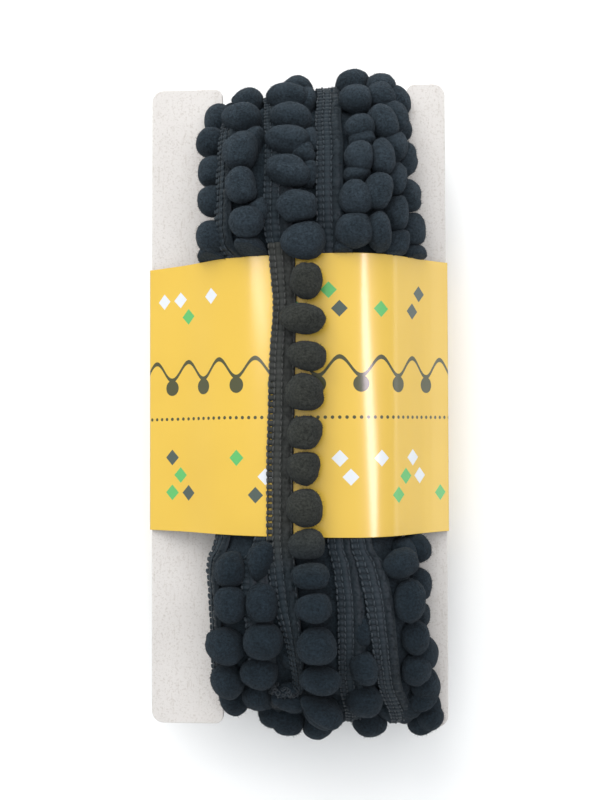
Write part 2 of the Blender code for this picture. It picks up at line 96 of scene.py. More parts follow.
# A turn: where its braid lies round the section (see turn_across), its pompoms' offsets
# and first distance, whether the braid shows, and how far that is lifted.
Turn = namedtuple("Turn", "end band crest tip back offset_band offset_end start braid lift")
TURNS = {
    "top_0": Turn(1, 0.5, 2, 2, 3, 8, 8, 2, True, -0.8),
    "top_1": Turn(1, 20, 20.5, 19, 17, 8.5, 8.5, 6, True, -0.4),
    "top_2": Turn(1, 37.6, 37.3, 32.8, 30.5, 8, 5.5, 0.3, True, -0.6),
    "top_3": Turn(1, 51.5, 51.5, 50.8, 44.5, 8, 8.5, 2.5, True, -0.1),
    "top_4": Turn(1, 55.2, 57, 60.5, 58.5, 8.5, 8.5, 3.4, False, 0),
    "top_5": Turn(1, 62, 61, 65.5, 68, 8.5, 8.5, 7, False, 0),
    "top_6": Turn(1, 75, 69, 71.5, 76, 8.5, 8.5, 5.3, False, 0),
    "low_0": Turn(-1, 15, 14, 12, 5, 8.5, 8.5, 60, True, -0.6),
    "low_1": Turn(-1, 21.5, 22.5, 18.5, 17, 5, 1.5, 0.6, False, 0),
    "low_2": Turn(-1, 31, 32, 30.5, 31, 4, 1.5, 0.1, True, -0.6),
    "low_3": Turn(-1, 43, 43, 39, 45, 4, 4, 48, False, 0),
    "low_4": Turn(-1, 54.8, 55, 54.2, 56, 5, 4.5, 9.3, True, -0.8),
    "low_5": Turn(-1, 61.6, 65.2, 67.4, 68, 8, 9.5, 0.1, True, -0.1),
    "low_6": Turn(-1, 74.5, 73, 74, 77, 8, 8, 7, False, 0),
}

# The front's pompoms: station place, distance round the section, radii across and
# along the trim, tilt in degrees and lift of the middle.
POMPOMS = {
    "top_0": (
        (5.4, 9, 5.4, 3.7, 0, 0.7), (4.3, 11, 4.9, 4.1, 0, -0.4), (3.4, 13, 4.5, 4.3, 0, -0.1),
        (2.3, 14, 4.3, 4.6, 0, 0.3), (1.6, 11, 4.9, 4, 0, 1.5),
    ),
    "top_1": (
        (8.1, 25.2, 4.5, 4.4, 0, -0.2), (6.2, 26.1, 5.6, 4, -14, 0.8),
        (5.3, 30.4, 3.6, 4, 0, -1.2), (4.7, 27.1, 4.6, 5.3, -10, 1.2),
        (3.6, 27.6, 4.1, 4.9, 15, 1.2), (3, 31.6, 3.4, 3.6, 0, -1.4),
        (2.6, 28.8, 4.7, 4.4, 20, 1), (1.7, 27.8, 3.3, 4.7, 0, 0.6),
    ),
    "top_2": (
        (8.5, 41, 4.6, 4.7, 0, -0.2), (7.1, 38.9, 6.1, 3.6, -16, 1), (7.2, 44.2, 3.2, 4.7, 0, -1),
        (6, 40.6, 6, 3.7, -16, 1.2), (5.2, 45.4, 3, 4.7, 0, -1.2), (5, 39.9, 6, 3.6, -14, 1.4),
        (4.6, 44.1, 3.4, 3.3, 20, 0), (4, 40.2, 6, 3.9, -16, 1.4), (4, 45.5, 2.8, 3.9, 0, -1),
        (3, 42.6, 5.4, 4.4, -8, 1.4), (2, 44.4, 5.7, 4.8, 0, 2.2),
    ),
    "top_3": (
        (8.8, 59.5, 4.9, 4, 0, 1.6), (6.8, 59.6, 4.5, 4.3, 0, 1), (5.5, 60.3, 4.1, 3.5, 0, 1),
        (5.1, 61, 3.7, 3.8, 0, -0.8), (4.4, 59.7, 3.9, 4.1, 0, 1.2),
        (3.9, 59.4, 3.6, 3.3, 0, -0.8), (3.2, 58.8, 4.2, 4.8, 24, 1.2),
        (2.3, 58.4, 5.1, 4.5, 24, 1.2), (1.6, 54.9, 2.8, 2.8, 0, -0.4),
    ),
    "top_4": (
        (8.3, 69, 4.1, 4.7, 0, 1.7), (7.1, 67.9, 4, 4.4, 20, 1), (5.8, 67.6, 3.7, 5.2, 24, 0.8),
        (4.4, 66.4, 3.3, 5.2, 12, 1), (3.4, 64.7, 3.9, 5.3, -18, 1),
        (2.3, 64.6, 3.1, 5.9, 8, 0.8),
    ),
    "top_5": (
        (8.1, 78, 4.3, 4, 0, 0.2), (6.4, 75, 3.9, 4.7, 12, 0.4), (5, 73, 3.8, 4.7, 0, -0.8),
        (3.9, 72, 3.5, 5.1, 0, -0.6), (2.9, 72, 3.5, 5.3, 0, -1.1), (1.8, 73, 3, 5.3, 0, -0.5),
    ),
    "top_6": (
        (6.1, 80, 5.1, 2.8, 0, -0.4), (4.7, 80, 3.6, 5, 0, -0.4), (3.5, 80, 3.9, 4.7, 0, 0.7),
        (2.5, 81, 3.6, 5, 0, 1), (1.4, 82, 3.9, 4.6, 0, 2.4),
    ),
    "low_1": (
        (2.2, 24.2, 4.3, 5, 0, 0.4), (3.2, 24.6, 4.4, 5, 0, 0.6), (4.4, 21.7, 5.5, 4.9, -8, 1),
        (5.7, 21.6, 4.8, 5, 0, 0.8), (7.8, 19, 4, 4.3, 0, 0.1),
    ),
    "low_2": (
        (1.8, 31.6, 3.8, 5.2, 0, -1), (3.2, 32.4, 4.4, 5.2, 0, -0.2), (4.2, 32.7, 5.1, 4.8, 0, 1),
        (5.3, 31.2, 4.9, 4.1, 0, 0.8), (6.5, 28.7, 4, 4, 0, 0.4), (8.6, 31, 3.9, 4.4, 0, 0.2),
        (8.7, 35.5, 4.8, 4.7, 0, 1.1),
    ),
    "low_4": (
        (4, 58.1, 3, 4.5, 0, -3), (5.1, 58.4, 3.9, 4.5, 0, 0.4), (6.4, 57.4, 4.7, 4.5, 0, 0.6),
        (8.7, 58, 4.7, 4.4, 0, -0.2),
    ),
    "low_5": (
        (1.5, 78.9, 4.7, 3.9, 0, -1), (2, 70.4, 5.3, 3.9, 0, 1), (3.1, 70.8, 3.8, 5.5, -12, 1),
        (4.2, 74.7, 3.6, 4.8, 0, 0.8), (5.3, 75.3, 4.3, 4.1, 0, 0.8),
        (6.8, 78, 4.7, 3.3, 0, -0.1), (8.3, 78, 3.8, 4.2, 0, 2.6), (8.9, 75.5, 4, 4, 0, 3),
    ),
    "low_6": ((1.6, 82, 3.4, 4.4, 0, 2), (2.8, 83, 4.2, 4.4, 0, -0.5), (3.7, 83, 4.3, 4.2, 0, -1.4)),
}

# The free end's braid: x, y, under, slope, roll, width.
FREE_END = np.array((
    (-3.1, 44.8, 22.6, 0, 6, 1), (-2.7, 37, 21.6, 0, 10, 0.95), (-2.2, 27, 21.65, 0, 10, 0.88),
    (-2.9, 13, 21.5, 0, 10, 0.96), (-3.2, 0, 21.4, 0, 10, 1), (-3.6, -15, 21.35, 0, 10, 1),
    (-3.7, -30, 21.3, 0, 10, 1), (-3.6, -39, 21.7, 0, 8, 1), (-2.8, -48, 23.2, 2, 6, 1),
    (-1.9, -55.5, 23.4, 10, 10, 0.96), (-0.9, -61, 22.9, 14, 22, 0.82),
    (-0.1, -66.5, 21.6, 19, 30, 0.68), (0.5, -72.5, 19.2, 26, 34, 0.54),
    (0.8, -77.5, 16.6, 32, 36, 0.47), (0.1, -80.8, 14.8, 36, 30, 0.44),
    (-2.2, -82.2, 13.8, 38, 14, 0.42), (-4.6, -81.6, 14.2, 38, 6, 0.42),
))
SLOPE, ROLL, WIDTH = 3, 4, 5
FREE_THICK = 1.3

# The free end's pompoms: distance down it, offset across it, radii, tilt and lift.
FREE_POMPOMS = (
    (12.2, 8, 4, 5, 12, 3.2), (21.5, 7.1, 5.9, 4.2, 6, 3.2), (31.8, 8.5, 5.1, 4.2, 8, 3.2),
    (42.3, 8.4, 4.8, 5.2, 14, 3.2), (53.1, 8.4, 4.2, 5.2, 22, 3.2), (63, 8.3, 4, 4.8, 10, 3.2),
    (74.1, 8.6, 4.5, 5.2, 0, 3.2), (85.5, 8.9, 4.7, 4.3, 0, 3.2), (93.8, 8.9, 4.7, 4, 0, 3.2),
    (102, 9.5, 4.7, 4.1, 0, 3.2), (111.8, 8.5, 5.2, 5.2, 0, 2.6), (121.5, 8.2, 5.5, 3.8, 0, 2.6),
    (128, 9.7, 6.1, 3, 0, 2.6),
)

# The band's section: across the card and above its mid-plane.
BAND_SECTION = np.array((
    (-45.4, 1.7), (-33.5, 7), (-22.6, 14.4), (-14, 18.8), (-5, 21.4), (5, 22.8),
    (14, 23.4), (21, 22.6), (27.5, 19), (32.6, 13.8), (38.2, 7.6), (45.4, 1.7),
    (45.4, -1.7), (36, -12), (28.5, -20.8), (22, -CARD_LIFT), (-14, -CARD_LIFT),
    (-22, -20.5), (-32, -11.5), (-45.4, -1.7),
))
BAND_SHARP = (0, 11, 12, 15, 16, 19)
PAPER_THICK = 0.35


# ---- curves and the bundle's surface ----

PLACE_STEP, ACROSS_STEP = 0.05, 0.4
TURN_STEPS, FREE_STEPS = 500, 900
TINY = 1e-9


def lerp(low, high, share):
    return low + (high - low) * share


def spline(rows, place):
    """Rows read at fractional places, on a smooth curve through them."""
    rows = np.asarray(rows, float)
    place = np.asarray(place, float)
    last = len(rows) - 1
    index = np.clip(place.astype(int), 0, last - 1)
    t = (place - index)[..., None]
    a, b, c, d = (rows[np.clip(index + step, 0, last)] for step in (-1, 0, 1, 2))
    bend = (2 * a - 5 * b + 4 * c - d) * t ** 2 + (3 * b - a - 3 * c + d) * t ** 3
    return 0.5 * (2 * b + (c - a) * t + bend)


def unit(vectors):
    return vectors / np.maximum(np.linalg.norm(vectors, axis=-1, keepdims=True), TINY)


def square_to(vectors, direction):
    """Unit vectors with their part along a unit direction taken out."""
    return unit(vectors - direction * (vectors * direction).sum(-1, keepdims=True))


def travelled(points):
    """How far along a line each of its points lies."""
    steps = np.linalg.norm(np.diff(points, axis=0), axis=1)
    return np.concatenate(([0], np.cumsum(steps)))


SECTION_LENGTHS = travelled(SECTION[:, :2] * SECTION_SIZE)
GIRTH = SECTION_LENGTHS[-1]


def surface(end, place, across):
    """Points of the bundle's surface; past its feet they turn in towards the card."""
    station = spline(STATIONS, place)
    kept = np.clip(across, 0, GIRTH)
    section = spline(SECTION, np.interp(kept, SECTION_LENGTHS, np.arange(len(SECTION))))
    side, rise = (lerp(section[..., 2 + i], section[..., i], station[..., FREE]) for i in (0, 1))
    left_column, right_column, slant = END_SIDES[end]
    left, right = station[..., left_column], station[..., right_column]
    neck = np.minimum(station[..., REACH], NECK_REACH)
    crop = slant * np.maximum(1 - side / END_SLANT_SPAN, 0) / END_REACH
    beyond = (station[..., REACH] - neck) * (1 - END_ROUNDING * (1 - rise) - crop)
    height = lerp(np.sign(station[..., HEIGHT]) * NECK_HEIGHT, station[..., HEIGHT], rise)
    x = lerp(left, right, side) - (across - kept)
    return np.stack((x, end * (neck + beyond), height + CARD_LIFT), -1)


def frames(end, place, across):
    """Points, outward normals, directions along the turn and across it."""
    place, across = np.broadcast_arrays(np.asarray(place, float), np.asarray(across, float))
    last = len(STATIONS) - 1
    ahead = surface(end, np.minimum(place + PLACE_STEP, last), across)
    along = unit(ahead - surface(end, np.maximum(place - PLACE_STEP, 0), across))
    inner = np.clip(across, ACROSS_STEP, GIRTH - ACROSS_STEP)
    right = surface(end, place, inner + ACROSS_STEP)
    sideways = square_to(right - surface(end, place, inner - ACROSS_STEP), along)
    return surface(end, place, across), np.cross(sideways, along) * end, along, sideways


def turn_across(turn, place):
    """Where a turn's braid lies round the section at a station place."""
    share = np.interp(place, (FRONT_EDGE, CREST, TIP, BACK_EDGE), (0, 1, 2, 3))
    return spline([[turn.band], [turn.crest], [turn.tip], [turn.back]], share)[..., 0]


def pompom_across(turn, place):
    """Where a turn's pompoms lie round it."""
    share = np.clip((place - FRONT_EDGE) / (CREST - FRONT_EDGE), 0, 1)
    return turn_across(turn, place) + lerp(turn.offset_band, turn.offset_end, share)


def walk(turn, across_of, first, last):
    """Station places along a turn and the distance travelled to each."""
    places = np.linspace(first, last, TURN_STEPS)
    return places, travelled(surface(turn.end, places, across_of(turn, places)))


def free_frames(place):
    """The free end's points, normals, directions along and across, and its table row."""
    row = spline(FREE_END, place)
    ahead = spline(FREE_END, np.minimum(place + PLACE_STEP, len(FREE_END) - 1))
    along = unit((ahead - spline(FREE_END, np.maximum(place - PLACE_STEP, 0)))[..., :3])
    slope = np.radians(row[..., SLOPE])
    normal = square_to(np.stack((slope * 0, -np.sin(slope), np.cos(slope)), -1), along)
    return row[..., :3] + (0, 0, CARD_LIFT), normal, along, np.cross(normal, along), row


def turned(first, second, angle):
    """Two directions turned towards each other's places by an angle."""
    cosine = np.cos(angle)[..., None]
    sine = np.sin(angle)[..., None]
    return first * cosine + second * sine, second * cosine - first * sine


FREE_PLACES = np.linspace(0, len(FREE_END) - 1, FREE_STEPS)
FREE_LENGTHS = travelled(spline(FREE_END, FREE_PLACES)[:, :3])


def on_free_end(points):
    """Bend flat points (along, across, out) onto the free end."""
    place = np.interp(points[:, 0], FREE_LENGTHS, FREE_PLACES)
    base, normal, _, sideways, row = free_frames(place)
    roll = np.radians(row[:, ROLL])
    middle = base + normal * (FREE_THICK / 2 + BRAID_HALF * row[:, WIDTH] * np.sin(roll))[:, None]
    wide, thick = turned(sideways, normal, roll)
    shift = (points[:, 1] - BRAID_HALF) * row[:, WIDTH]
    return middle + wide * shift[:, None] + thick * (points[:, 2] - FREE_THICK / 2)[:, None]


def on_turn(turn, points, first, last):
    """Bend flat points (along, across, out) onto a turn of the winding."""
    places, lengths = walk(turn, turn_across, first, last)
    place = np.interp(points[:, 0], lengths, places)
    across = turn_across(turn, place) + points[:, 1] - BRAID_HALF
    point, normal, _, _ = frames(turn.end, place, across)
    return point + normal * points[:, 2:3]


# ---- the band's line, and what lies under and over it ----

BAND_MIDDLE = np.array((2, 0))
POLAR_STEPS = 8
PRESS_ROOM, OVER_BAND = 0.6, 0.05
# How the winding bulges past the band's edges: by the distance's root and by itself.
BULGE = (2.2, 1.1)


def band_line(steps):
    """The band's outer line, with steps points to each row of its table."""
    points = []
    count = len(BAND_SECTION)
    for one, two in zip(BAND_SHARP, BAND_SHARP[1:] + (count,)):
        run = BAND_SECTION[[i % count for i in range(one, two + 1)]]
        places = np.linspace(0, len(run) - 1, steps * (len(run) - 1) + 1)[:-1]
        straight = lerp(run[:1], run[1:2], places[:, None])
        points.append(spline(run, places) if len(run) > 2 else straight)
    return np.concatenate(points)


BAND_POLAR = band_line(POLAR_STEPS) - BAND_MIDDLE


def to_band(points, bound, limit_of):
    """Move points straight in or out from the band's middle line, to a limit there."""
    middle = BAND_MIDDLE + (0, CARD_LIFT)
    flat = points[:, (0, 2)] - middle
    angle, band_angle = (np.arctan2(p[:, 1], p[:, 0]) for p in (flat, BAND_POLAR))
    edge = np.interp(angle, band_angle, np.linalg.norm(BAND_POLAR, axis=1), period=TURN)
    past = np.maximum(np.maximum(points[:, 1] - BAND_TOP, BAND_BOTTOM - points[:, 1]), 0)
    radius = np.maximum(np.linalg.norm(flat, axis=1), TINY)
    moved = points.copy()
    moved[:, (0, 2)] = middle + flat * bound(1, limit_of(edge, past) / radius)[:, None]
    return moved


def pressed(points):
    """Keep the winding's points under the band, bulging out from its edges."""
    return to_band(points, np.minimum, lambda edge, past: (
        edge - PRESS_ROOM + BULGE[0] * np.sqrt(past) + BULGE[1] * past
    ))


def above_band(points):
    """Keep the free end's points on top of the band."""
    return to_band(points, np.maximum, lambda edge, past: np.where(past > 0, 0, edge + OVER_BAND))


def untouched(points):
    return points


# ---- meshes ----

# How softly what would sink into the ground is flattened on it.
GROUND_EASE = 0.5


def grid(rows, columns, closed=False):
    """Point numbers of a grid; a closed one's last column is its first one again."""
    index = np.arange(rows * columns).reshape(rows, columns)
    return np.hstack((index, index[:, :1])) if closed else index


def quads(first, second):
    """Faces between two grids of point numbers a row apart."""
    return np.stack((first[:, :-1], first[:, 1:], second[:, 1:], second[:, :-1]), -1)


def flat_list(faces):
    return faces.reshape(-1, 4).tolist()


def repeated(faces, count, times):
    """The faces of a number of copies of a form of count points."""
    return [[corner + k * count for corner in face] for k in range(times) for face in faces]


class Parts:
    """One piece's points and faces, gathered from many forms."""

    def __init__(self):
        self.points = []
        self.faces = []
        self.local = []
        self.count = 0

    def add(self, points, faces, local=None):
        self.points.append(points)
        self.faces += [[corner + self.count for corner in face] for face in faces]
        self.local.append(np.zeros_like(points) if local is None else local)
        self.count += len(points)

    def piece(self, name, material, slot):
        points = np.concatenate(self.points)
        points[:, 2] = (points[:, 2] + np.hypot(points[:, 2], GROUND_EASE)) / 2
        mesh = bpy.data.meshes.new(name)
        mesh.from_pydata((points * MM).tolist(), [], self.faces)
        mesh.validate()
        local = mesh.attributes.new("local", "FLOAT_VECTOR", "POINT")
        local.data.foreach_set("vector", np.concatenate(self.local).ravel())
        mesh.shade_smooth()
        return new_piece(name, mesh, material)


def placed(name, data):
    thing = bpy.data.objects.new(name, data)
    bpy.context.scene.collection.objects.link(thing)
    return thing


def new_piece(name, mesh, material):
    mesh.materials.append(material)
    thing = placed(name, mesh)
    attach(thing, "root")
    return thing


def ball(cuts):
    """A unit ball of six grids of quads, evenly spread."""
    bm = bmesh.new()
    bmesh.ops.create_cube(bm, size=2)
    bmesh.ops.subdivide_edges(bm, edges=bm.edges[:], cuts=cuts - 1, use_grid_fill=True)
    points = unit(np.tan(np.array([v.co[:] for v in bm.verts]) * math.pi / 4))
    faces = [[v.index for v in f.verts] for f in bm.faces]
    bm.free()
    return points, faces


FINE_BALL = ball(13)
PLAIN_BALL = ball(8)
ROUGH_BALL = ball(5)


# ---- pompoms ----

# Ripples over a pompom: height, waves and how many are added up.
RIPPLES = ((0.1, 1.4, 5), (0.03, 4.5, 5), (0.022, 9, 7))
PLUMPNESS = 0.96
# Its crease: the ways it tends to face, how far off the middle, how deep and how likely.
CREASE_WAYS = (0.35, 1, 0.7)
CREASE_OFF, CREASE_WIDTH = 0.45, 0.2
CREASE_DEPTHS, CREASE_CHANCES = (0, 0.03, 0.06), (0.5, 0.3, 0.2)
# How much fuller its outer side may be, and its depth by its other two radii.
FULLER_OUTSIDE = 0.2
DEPTH_SHARE, DEPTH_BOUNDS = 0.45, (3.3, 4.5)
FUZZ_LENGTH, FUZZ_LENGTH_SHARE = (0.35, 1.05), (0.4, 1)
FUZZ_RADIUS, FUZZ_SIDES, FUZZ_LEAN, FUZZ_ROOT = 0.05, 3, 0.75, 0.1
HAIRS_FRONT, HAIRS_BACK = 800, 60
# How pompoms meet: how far off they matter and touch, how they swell towards each other,
# how far a raised one keeps its outline, the overlap that stays and the fold's softness.
NEAR, SNUG = 18, 1.06
SWELL, SWELL_FACING = 0.05, (0.3, 0.8)
FRONT_SHARE, FRONT_LIMIT = 0.6, 1.6
LAP, SOFT = 0.5, 0.8


def ripple(points, rng, waves, count):
    """A smooth uneven height for each point of a unit ball."""
    total = np.zeros(len(points))
    for _ in range(count):
        wave = rng.normal(size=3) * waves
        total += np.sin(points @ wave + rng.uniform(0, TURN))
    return total / count


def pompom(rng, points):
    """A felted pompom of radius 1: across the trim, along it and outwards."""
    uneven = 1
    for height, waves, count in RIPPLES:
        uneven = uneven + height * ripple(points, rng, waves, count)
    crease_way = unit(rng.normal(size=3) * CREASE_WAYS)
    beside = points @ crease_way - rng.uniform(-CREASE_OFF, CREASE_OFF)
    depth = rng.choice(CREASE_DEPTHS, p=CREASE_CHANCES)
    crease = depth * np.exp(-((beside / CREASE_WIDTH) ** 2)) * (1 + 0.5 * points[:, 0])
    shape = np.sign(points) * np.abs(points) ** PLUMPNESS * (uneven - crease)[:, None]
    shape[:, 1:] *= 1 + rng.uniform(0, FULLER_OUTSIDE) * points[:, :1]
    return shape


def pompom_depth(half_across, half_along):
    return np.clip(DEPTH_SHARE * (half_across + half_along), *DEPTH_BOUNDS)


def reach(axes, radii, way):
    """Distance from an ellipsoid's middle to its surface in a direction."""
    return 1 / np.linalg.norm(np.einsum("...ij,...j->...i", axes, way) / radii, axis=-1)


def fibres(roots, tips, rng):
    """Thin closed spikes from roots to tips."""
    lean = unit(tips - roots)
    side = unit(np.cross(lean, rng.normal(size=roots.shape)))
    other = np.cross(lean, side)
    corners = [
        roots + FUZZ_RADIUS * (side * math.cos(angle) + other * math.sin(angle))
        for angle in np.arange(FUZZ_SIDES) * TURN / FUZZ_SIDES
    ]
    points = np.stack((*corners, tips), axis=1).reshape(-1, 3)
    tip = FUZZ_SIDES
    spike = [[i, (i + 1) % tip, tip] for i in range(tip)] + [list(range(tip - 1, -1, -1))]
    return points, repeated(spike, tip + 1, len(roots))


def pompom_fuzz(rng, points, faces, local, middle, count):
    """Short loose fibres standing out of a pompom's surface."""
    corners = np.array(faces)[rng.integers(0, len(faces), count)]
    weights = rng.dirichlet(np.ones(4), count)[..., None]
    roots = (points[corners] * weights).sum(axis=1)
    out = unit(roots - middle)
    lean = unit(out + rng.normal(size=(count, 3)) * FUZZ_LEAN)
    length = rng.uniform(*FUZZ_LENGTH, (count, 1))
    length = length * rng.uniform(*FUZZ_LENGTH_SHARE, (count, 1))
    spikes, spike_faces = fibres(roots - out * FUZZ_ROOT, roots + lean * length, rng)
    root_local = (local[corners] * weights).sum(axis=1)
    return spikes, spike_faces, np.repeat(root_local, FUZZ_SIDES + 1, axis=0)


class Crowd:
    """Pompoms that are gathered first and then swell and press against each other."""

    def __init__(self):
        self.jobs = []

    def add(self, parts, rng, spot, axes, radii, tilt, lift, template, bound, hairs=None, count=0):
        along, sideways, normal = axes
        first, second = turned(sideways, along, np.radians(tilt))
        self.jobs.append((
            spot + normal * lift, (first, second, normal), radii, lift, parts, rng, template,
            bound, hairs, count,
        ))

    def settle(self):
        self.spots, self.axes, self.radii, self.lifts = map(np.array, list(zip(*self.jobs))[:4])
        for i, (*_, parts, rng, (points, faces), bound, hairs, count) in enumerate(self.jobs):
            shape = pompom(rng, points) * self.radii[i] @ self.axes[i]
            shape = bound(self.pushed(i, shape) + self.spots[i])
            parts.add(shape, faces, points)
            if count:
                hairs.add(*pompom_fuzz(rng, shape, faces, points, self.spots[i], count))

    def pushed(self, i, points):
        """One pompom's points, swollen and pressed against those that it touches."""
        away = self.spots - self.spots[i]
        distance = np.linalg.norm(away, axis=1)
        near = np.flatnonzero((distance > TINY) & (distance < NEAR))
        way = away[near] / distance[near, None]
        mine = reach(self.axes[i], self.radii[i], way)
        theirs = reach(self.axes[near], self.radii[near], way)
        touching = distance[near] < SNUG * (mine + theirs)
        near, way, mine, theirs = (v[touching] for v in (near, way, mine, theirs))
        if len(near):
            facing = (unit(points) @ way.T).max(axis=1)
            points *= 1 + SWELL * np.interp(facing, SWELL_FACING, (0, 1))[:, None]
        front = FRONT_SHARE * (self.lifts[i] - self.lifts[near])
        overlap = np.maximum(mine + theirs - distance[near], 0)
        limits = distance[near] * mine / (mine + theirs) + LAP * overlap
        limits += np.clip(front, -FRONT_LIMIT, FRONT_LIMIT)
        for one_way, limit in zip(way, limits):
            depth = points @ one_way
            kept = limit - SOFT * np.logaddexp(0, (limit - depth) / SOFT)
            points += (kept - depth)[:, None] * one_way
        return points


# ---- braid ----

STITCH = 1.78
# Across the braid: distance from its left edge, a weft's height and its grooves' depth.
GROUND = np.array((
    (0.3, -0.1, 0), (0.68, 0.28, 0.28), (0.88, 0.48, 0.5), (1.25, 0.55, 0.56),
    (1.66, 0.48, 0.5), (1.88, 0.3, 0.26), (2.15, 0.15, 0), (2.45, 0.36, 0.28),
    (2.75, 0.5, 0.4), (3.25, 0.56, 0.4), (3.75, 0.5, 0.4), (4.02, 0.34, 0.2),
    (4.3, 0.12, 0), (4.66, 0.12, 0.06), (4.95, 0.42, 0.12), (5.45, 0.6, 0.14),
    (6, 0.66, 0.14), (6.55, 0.6, 0.14), (6.95, 0.42, 0.1), (7.18, 0.12, 0),
    (7.5, 0.14, 0), (7.8, -0.3, 0),
))
RIB_COLUMNS, TAPE_COLUMNS = slice(7, 12), slice(14, 19)
# Along a stitch: place and share of the groove's depth.
GROOVE = np.array(((0, 1), (0.16, 0.55), (0.34, 0), (0.66, 0), (0.84, 0.55)))
# Waves over the tape: height, how fast they run along and across the braid, and shift.
TAPE_WAVES = (
    (0.12, TURN / POMPOM_PITCH, 0, math.pi / 2), (0.07, 1.9, 0, 0), (0.09, 1.31, 2.3, 0),
    (0.08, 3.7, -4.1, 0),
)
# How deep the underside lies below the top, and its highest level.
UNDER = (0.3, -0.15)
# Where down the free end the ladder's slots open, widen and end, and their columns.
SLOTS_FROM, WIDE_SLOTS_FROM, SLOTS_TO = 38, 66, 88
SLOT_COLUMNS, WIDE_SLOT_COLUMNS = (2, 3), (1, 2, 3, 4)
# Chain stitches: middle across the braid, height, half width and half height.
CHAINS = (
    (0.44, 0.26, 0.28, 0.36), (2.15, 0.46, 0.26, 0.36), (4.3, 0.42, 0.24, 0.34),
    (7.5, 0.38, 0.22, 0.3),
)
# A stitch's rings: place and radius. Then how uneven its place, height and size are.
BEAD_RINGS = ((-1, 0.45), (-0.55, 0.96), (0.45, 1), (1, 0.5))
BEAD_SIDES, BEAD_HALF, BEAD_SLOPE, BEAD_SIZES = 6, 0.39, 0.05, (0.85, 1.15)
JITTER_ALONG, JITTER_ASIDE, JITTER_TURN = 0.03, 0.05, 0.08
# Loose fibres on the tape and the right edge: number to a stitch and how they lie.
TAPE_FUZZ = 20
TAPE_FUZZ_ACROSS, TAPE_FUZZ_HEIGHT, TAPE_FUZZ_LENGTH = (4.7, 7.9), 0.55, (0.5, 1.3)
TAPE_FUZZ_SPREAD, TAPE_FUZZ_LEAN = (1, 1, 0.45), (0, 0.2, 0.6)


def bead():
    """A blunt stitch of unit size, along its first axis."""
    angles = TURN * (np.arange(BEAD_SIDES) + 0.5) / BEAD_SIDES
    points = np.array([
        (place, radius * math.cos(angle), radius * math.sin(angle))
        for place, radius in BEAD_RINGS for angle in angles
    ])
    index = grid(len(BEAD_RINGS), BEAD_SIDES, True)
    faces = flat_list(quads(index[:-1], index[1:]))
    return points, faces + [index[0, -2::-1].tolist(), index[-1, :-1].tolist()]


BEAD = bead()


def slotted(along, count):
    """Which of the ground's quads are solid where the ladder's slots are open."""
    solid = np.ones((len(along) - 1, len(GROUND) - 1), bool)
    place = along[:-1]
    phase = np.tile(np.arange(len(GROOVE)), count)[:-1]
    wide = (phase == 0) | (phase == len(GROOVE) - 1)
    for rows, start, columns in (
        (phase == 0, SLOTS_FROM, SLOT_COLUMNS), (wide, WIDE_SLOTS_FROM, WIDE_SLOT_COLUMNS),
    ):
        solid[np.ix_(rows & (place > start) & (place < SLOTS_TO), columns)] = False
    return solid


def walls(starts, ends, behind, before, shift):
    """Faces down to the underside wherever solid ground ends."""
    rim = behind != before
    one = np.where(behind, ends, starts)[rim]
    two = np.where(behind, starts, ends)[rim]
    return flat_list(np.stack((two, one, one + shift, two + shift), -1))


def flat_ground(length, closed, ribs):
    """The braid's weft ground, flat; closed gives it an underside and open slots."""
    count = int(length / STITCH)
    along = (np.arange(count)[:, None] + GROOVE[:, 0]).ravel() * STITCH
    depth = GROUND[:, 2].copy()
    depth[RIB_COLUMNS] *= ribs
    height = GROUND[:, 1] - depth * np.tile(GROOVE[:, 1], count)[:, None]
    for size, along_turn, across_turn, shift in TAPE_WAVES:
        wave = np.sin(along[:, None] * along_turn + GROUND[:, 0] * across_turn + shift)
        height[:, TAPE_COLUMNS] += size * wave[:, TAPE_COLUMNS]
    rows, columns = height.shape
    across = np.tile(GROUND[:, 0], rows)
    top = np.stack((np.repeat(along, columns), across, height.ravel()), -1)
    index = grid(rows, columns)
    faces = quads(index[:-1], index[1:])
    if not closed:
        return top, flat_list(faces)
    solid = slotted(along, count)
    under = top.copy()
    under[:, 2] = np.minimum(under[:, 2] - UNDER[0], UNDER[1])
    shift = len(top)
    faces = flat_list(faces[solid]) + flat_list(faces[solid][:, ::-1] + shift)
    padded = np.pad(solid, 1)
    faces += walls(index[:, :-1], index[:, 1:], padded[:-1, 1:-1], padded[1:, 1:-1], shift)
    faces += walls(index[:-1], index[1:], padded[1:-1, 1:], padded[1:-1, :-1], shift)
    return np.concatenate((top, under)), faces


def flat_fuzz(length, rng):
    """The braid's loose fibres, flat."""
    count = int(length / STITCH) * TAPE_FUZZ
    roots = np.stack((
        rng.uniform(0, length, count), rng.uniform(*TAPE_FUZZ_ACROSS, count),
        np.full(count, TAPE_FUZZ_HEIGHT),
    ), -1)
    lean = unit(rng.normal(size=(count, 3)) * TAPE_FUZZ_SPREAD + TAPE_FUZZ_LEAN)
    return fibres(roots, roots + lean * rng.uniform(*TAPE_FUZZ_LENGTH, (count, 1)), rng)


def flat_chains(length, rng, rows):
    """The braid's rows of chain stitches, flat."""
    points, faces = BEAD
    starts = (np.arange(int(length / STITCH)) + 0.5) * STITCH
    shapes = []
    for middle, height, half_width, half_height in CHAINS[:rows]:
        for at in starts + rng.normal(size=len(starts)) * JITTER_ALONG:
            shape = points * (STITCH * BEAD_HALF, half_width, half_height)
            shape *= rng.uniform(*BEAD_SIZES)
            shape[:, 2] += height - BEAD_SLOPE * points[:, 0] + rng.normal() * JITTER_ASIDE
            aside = middle + rng.normal() * JITTER_ASIDE
            shape[:, 1] += aside + JITTER_TURN * rng.normal() * points[:, 0]
            shape[:, 0] += at
            shapes.append(shape)
    return np.concatenate(shapes), repeated(faces, len(points), len(shapes))


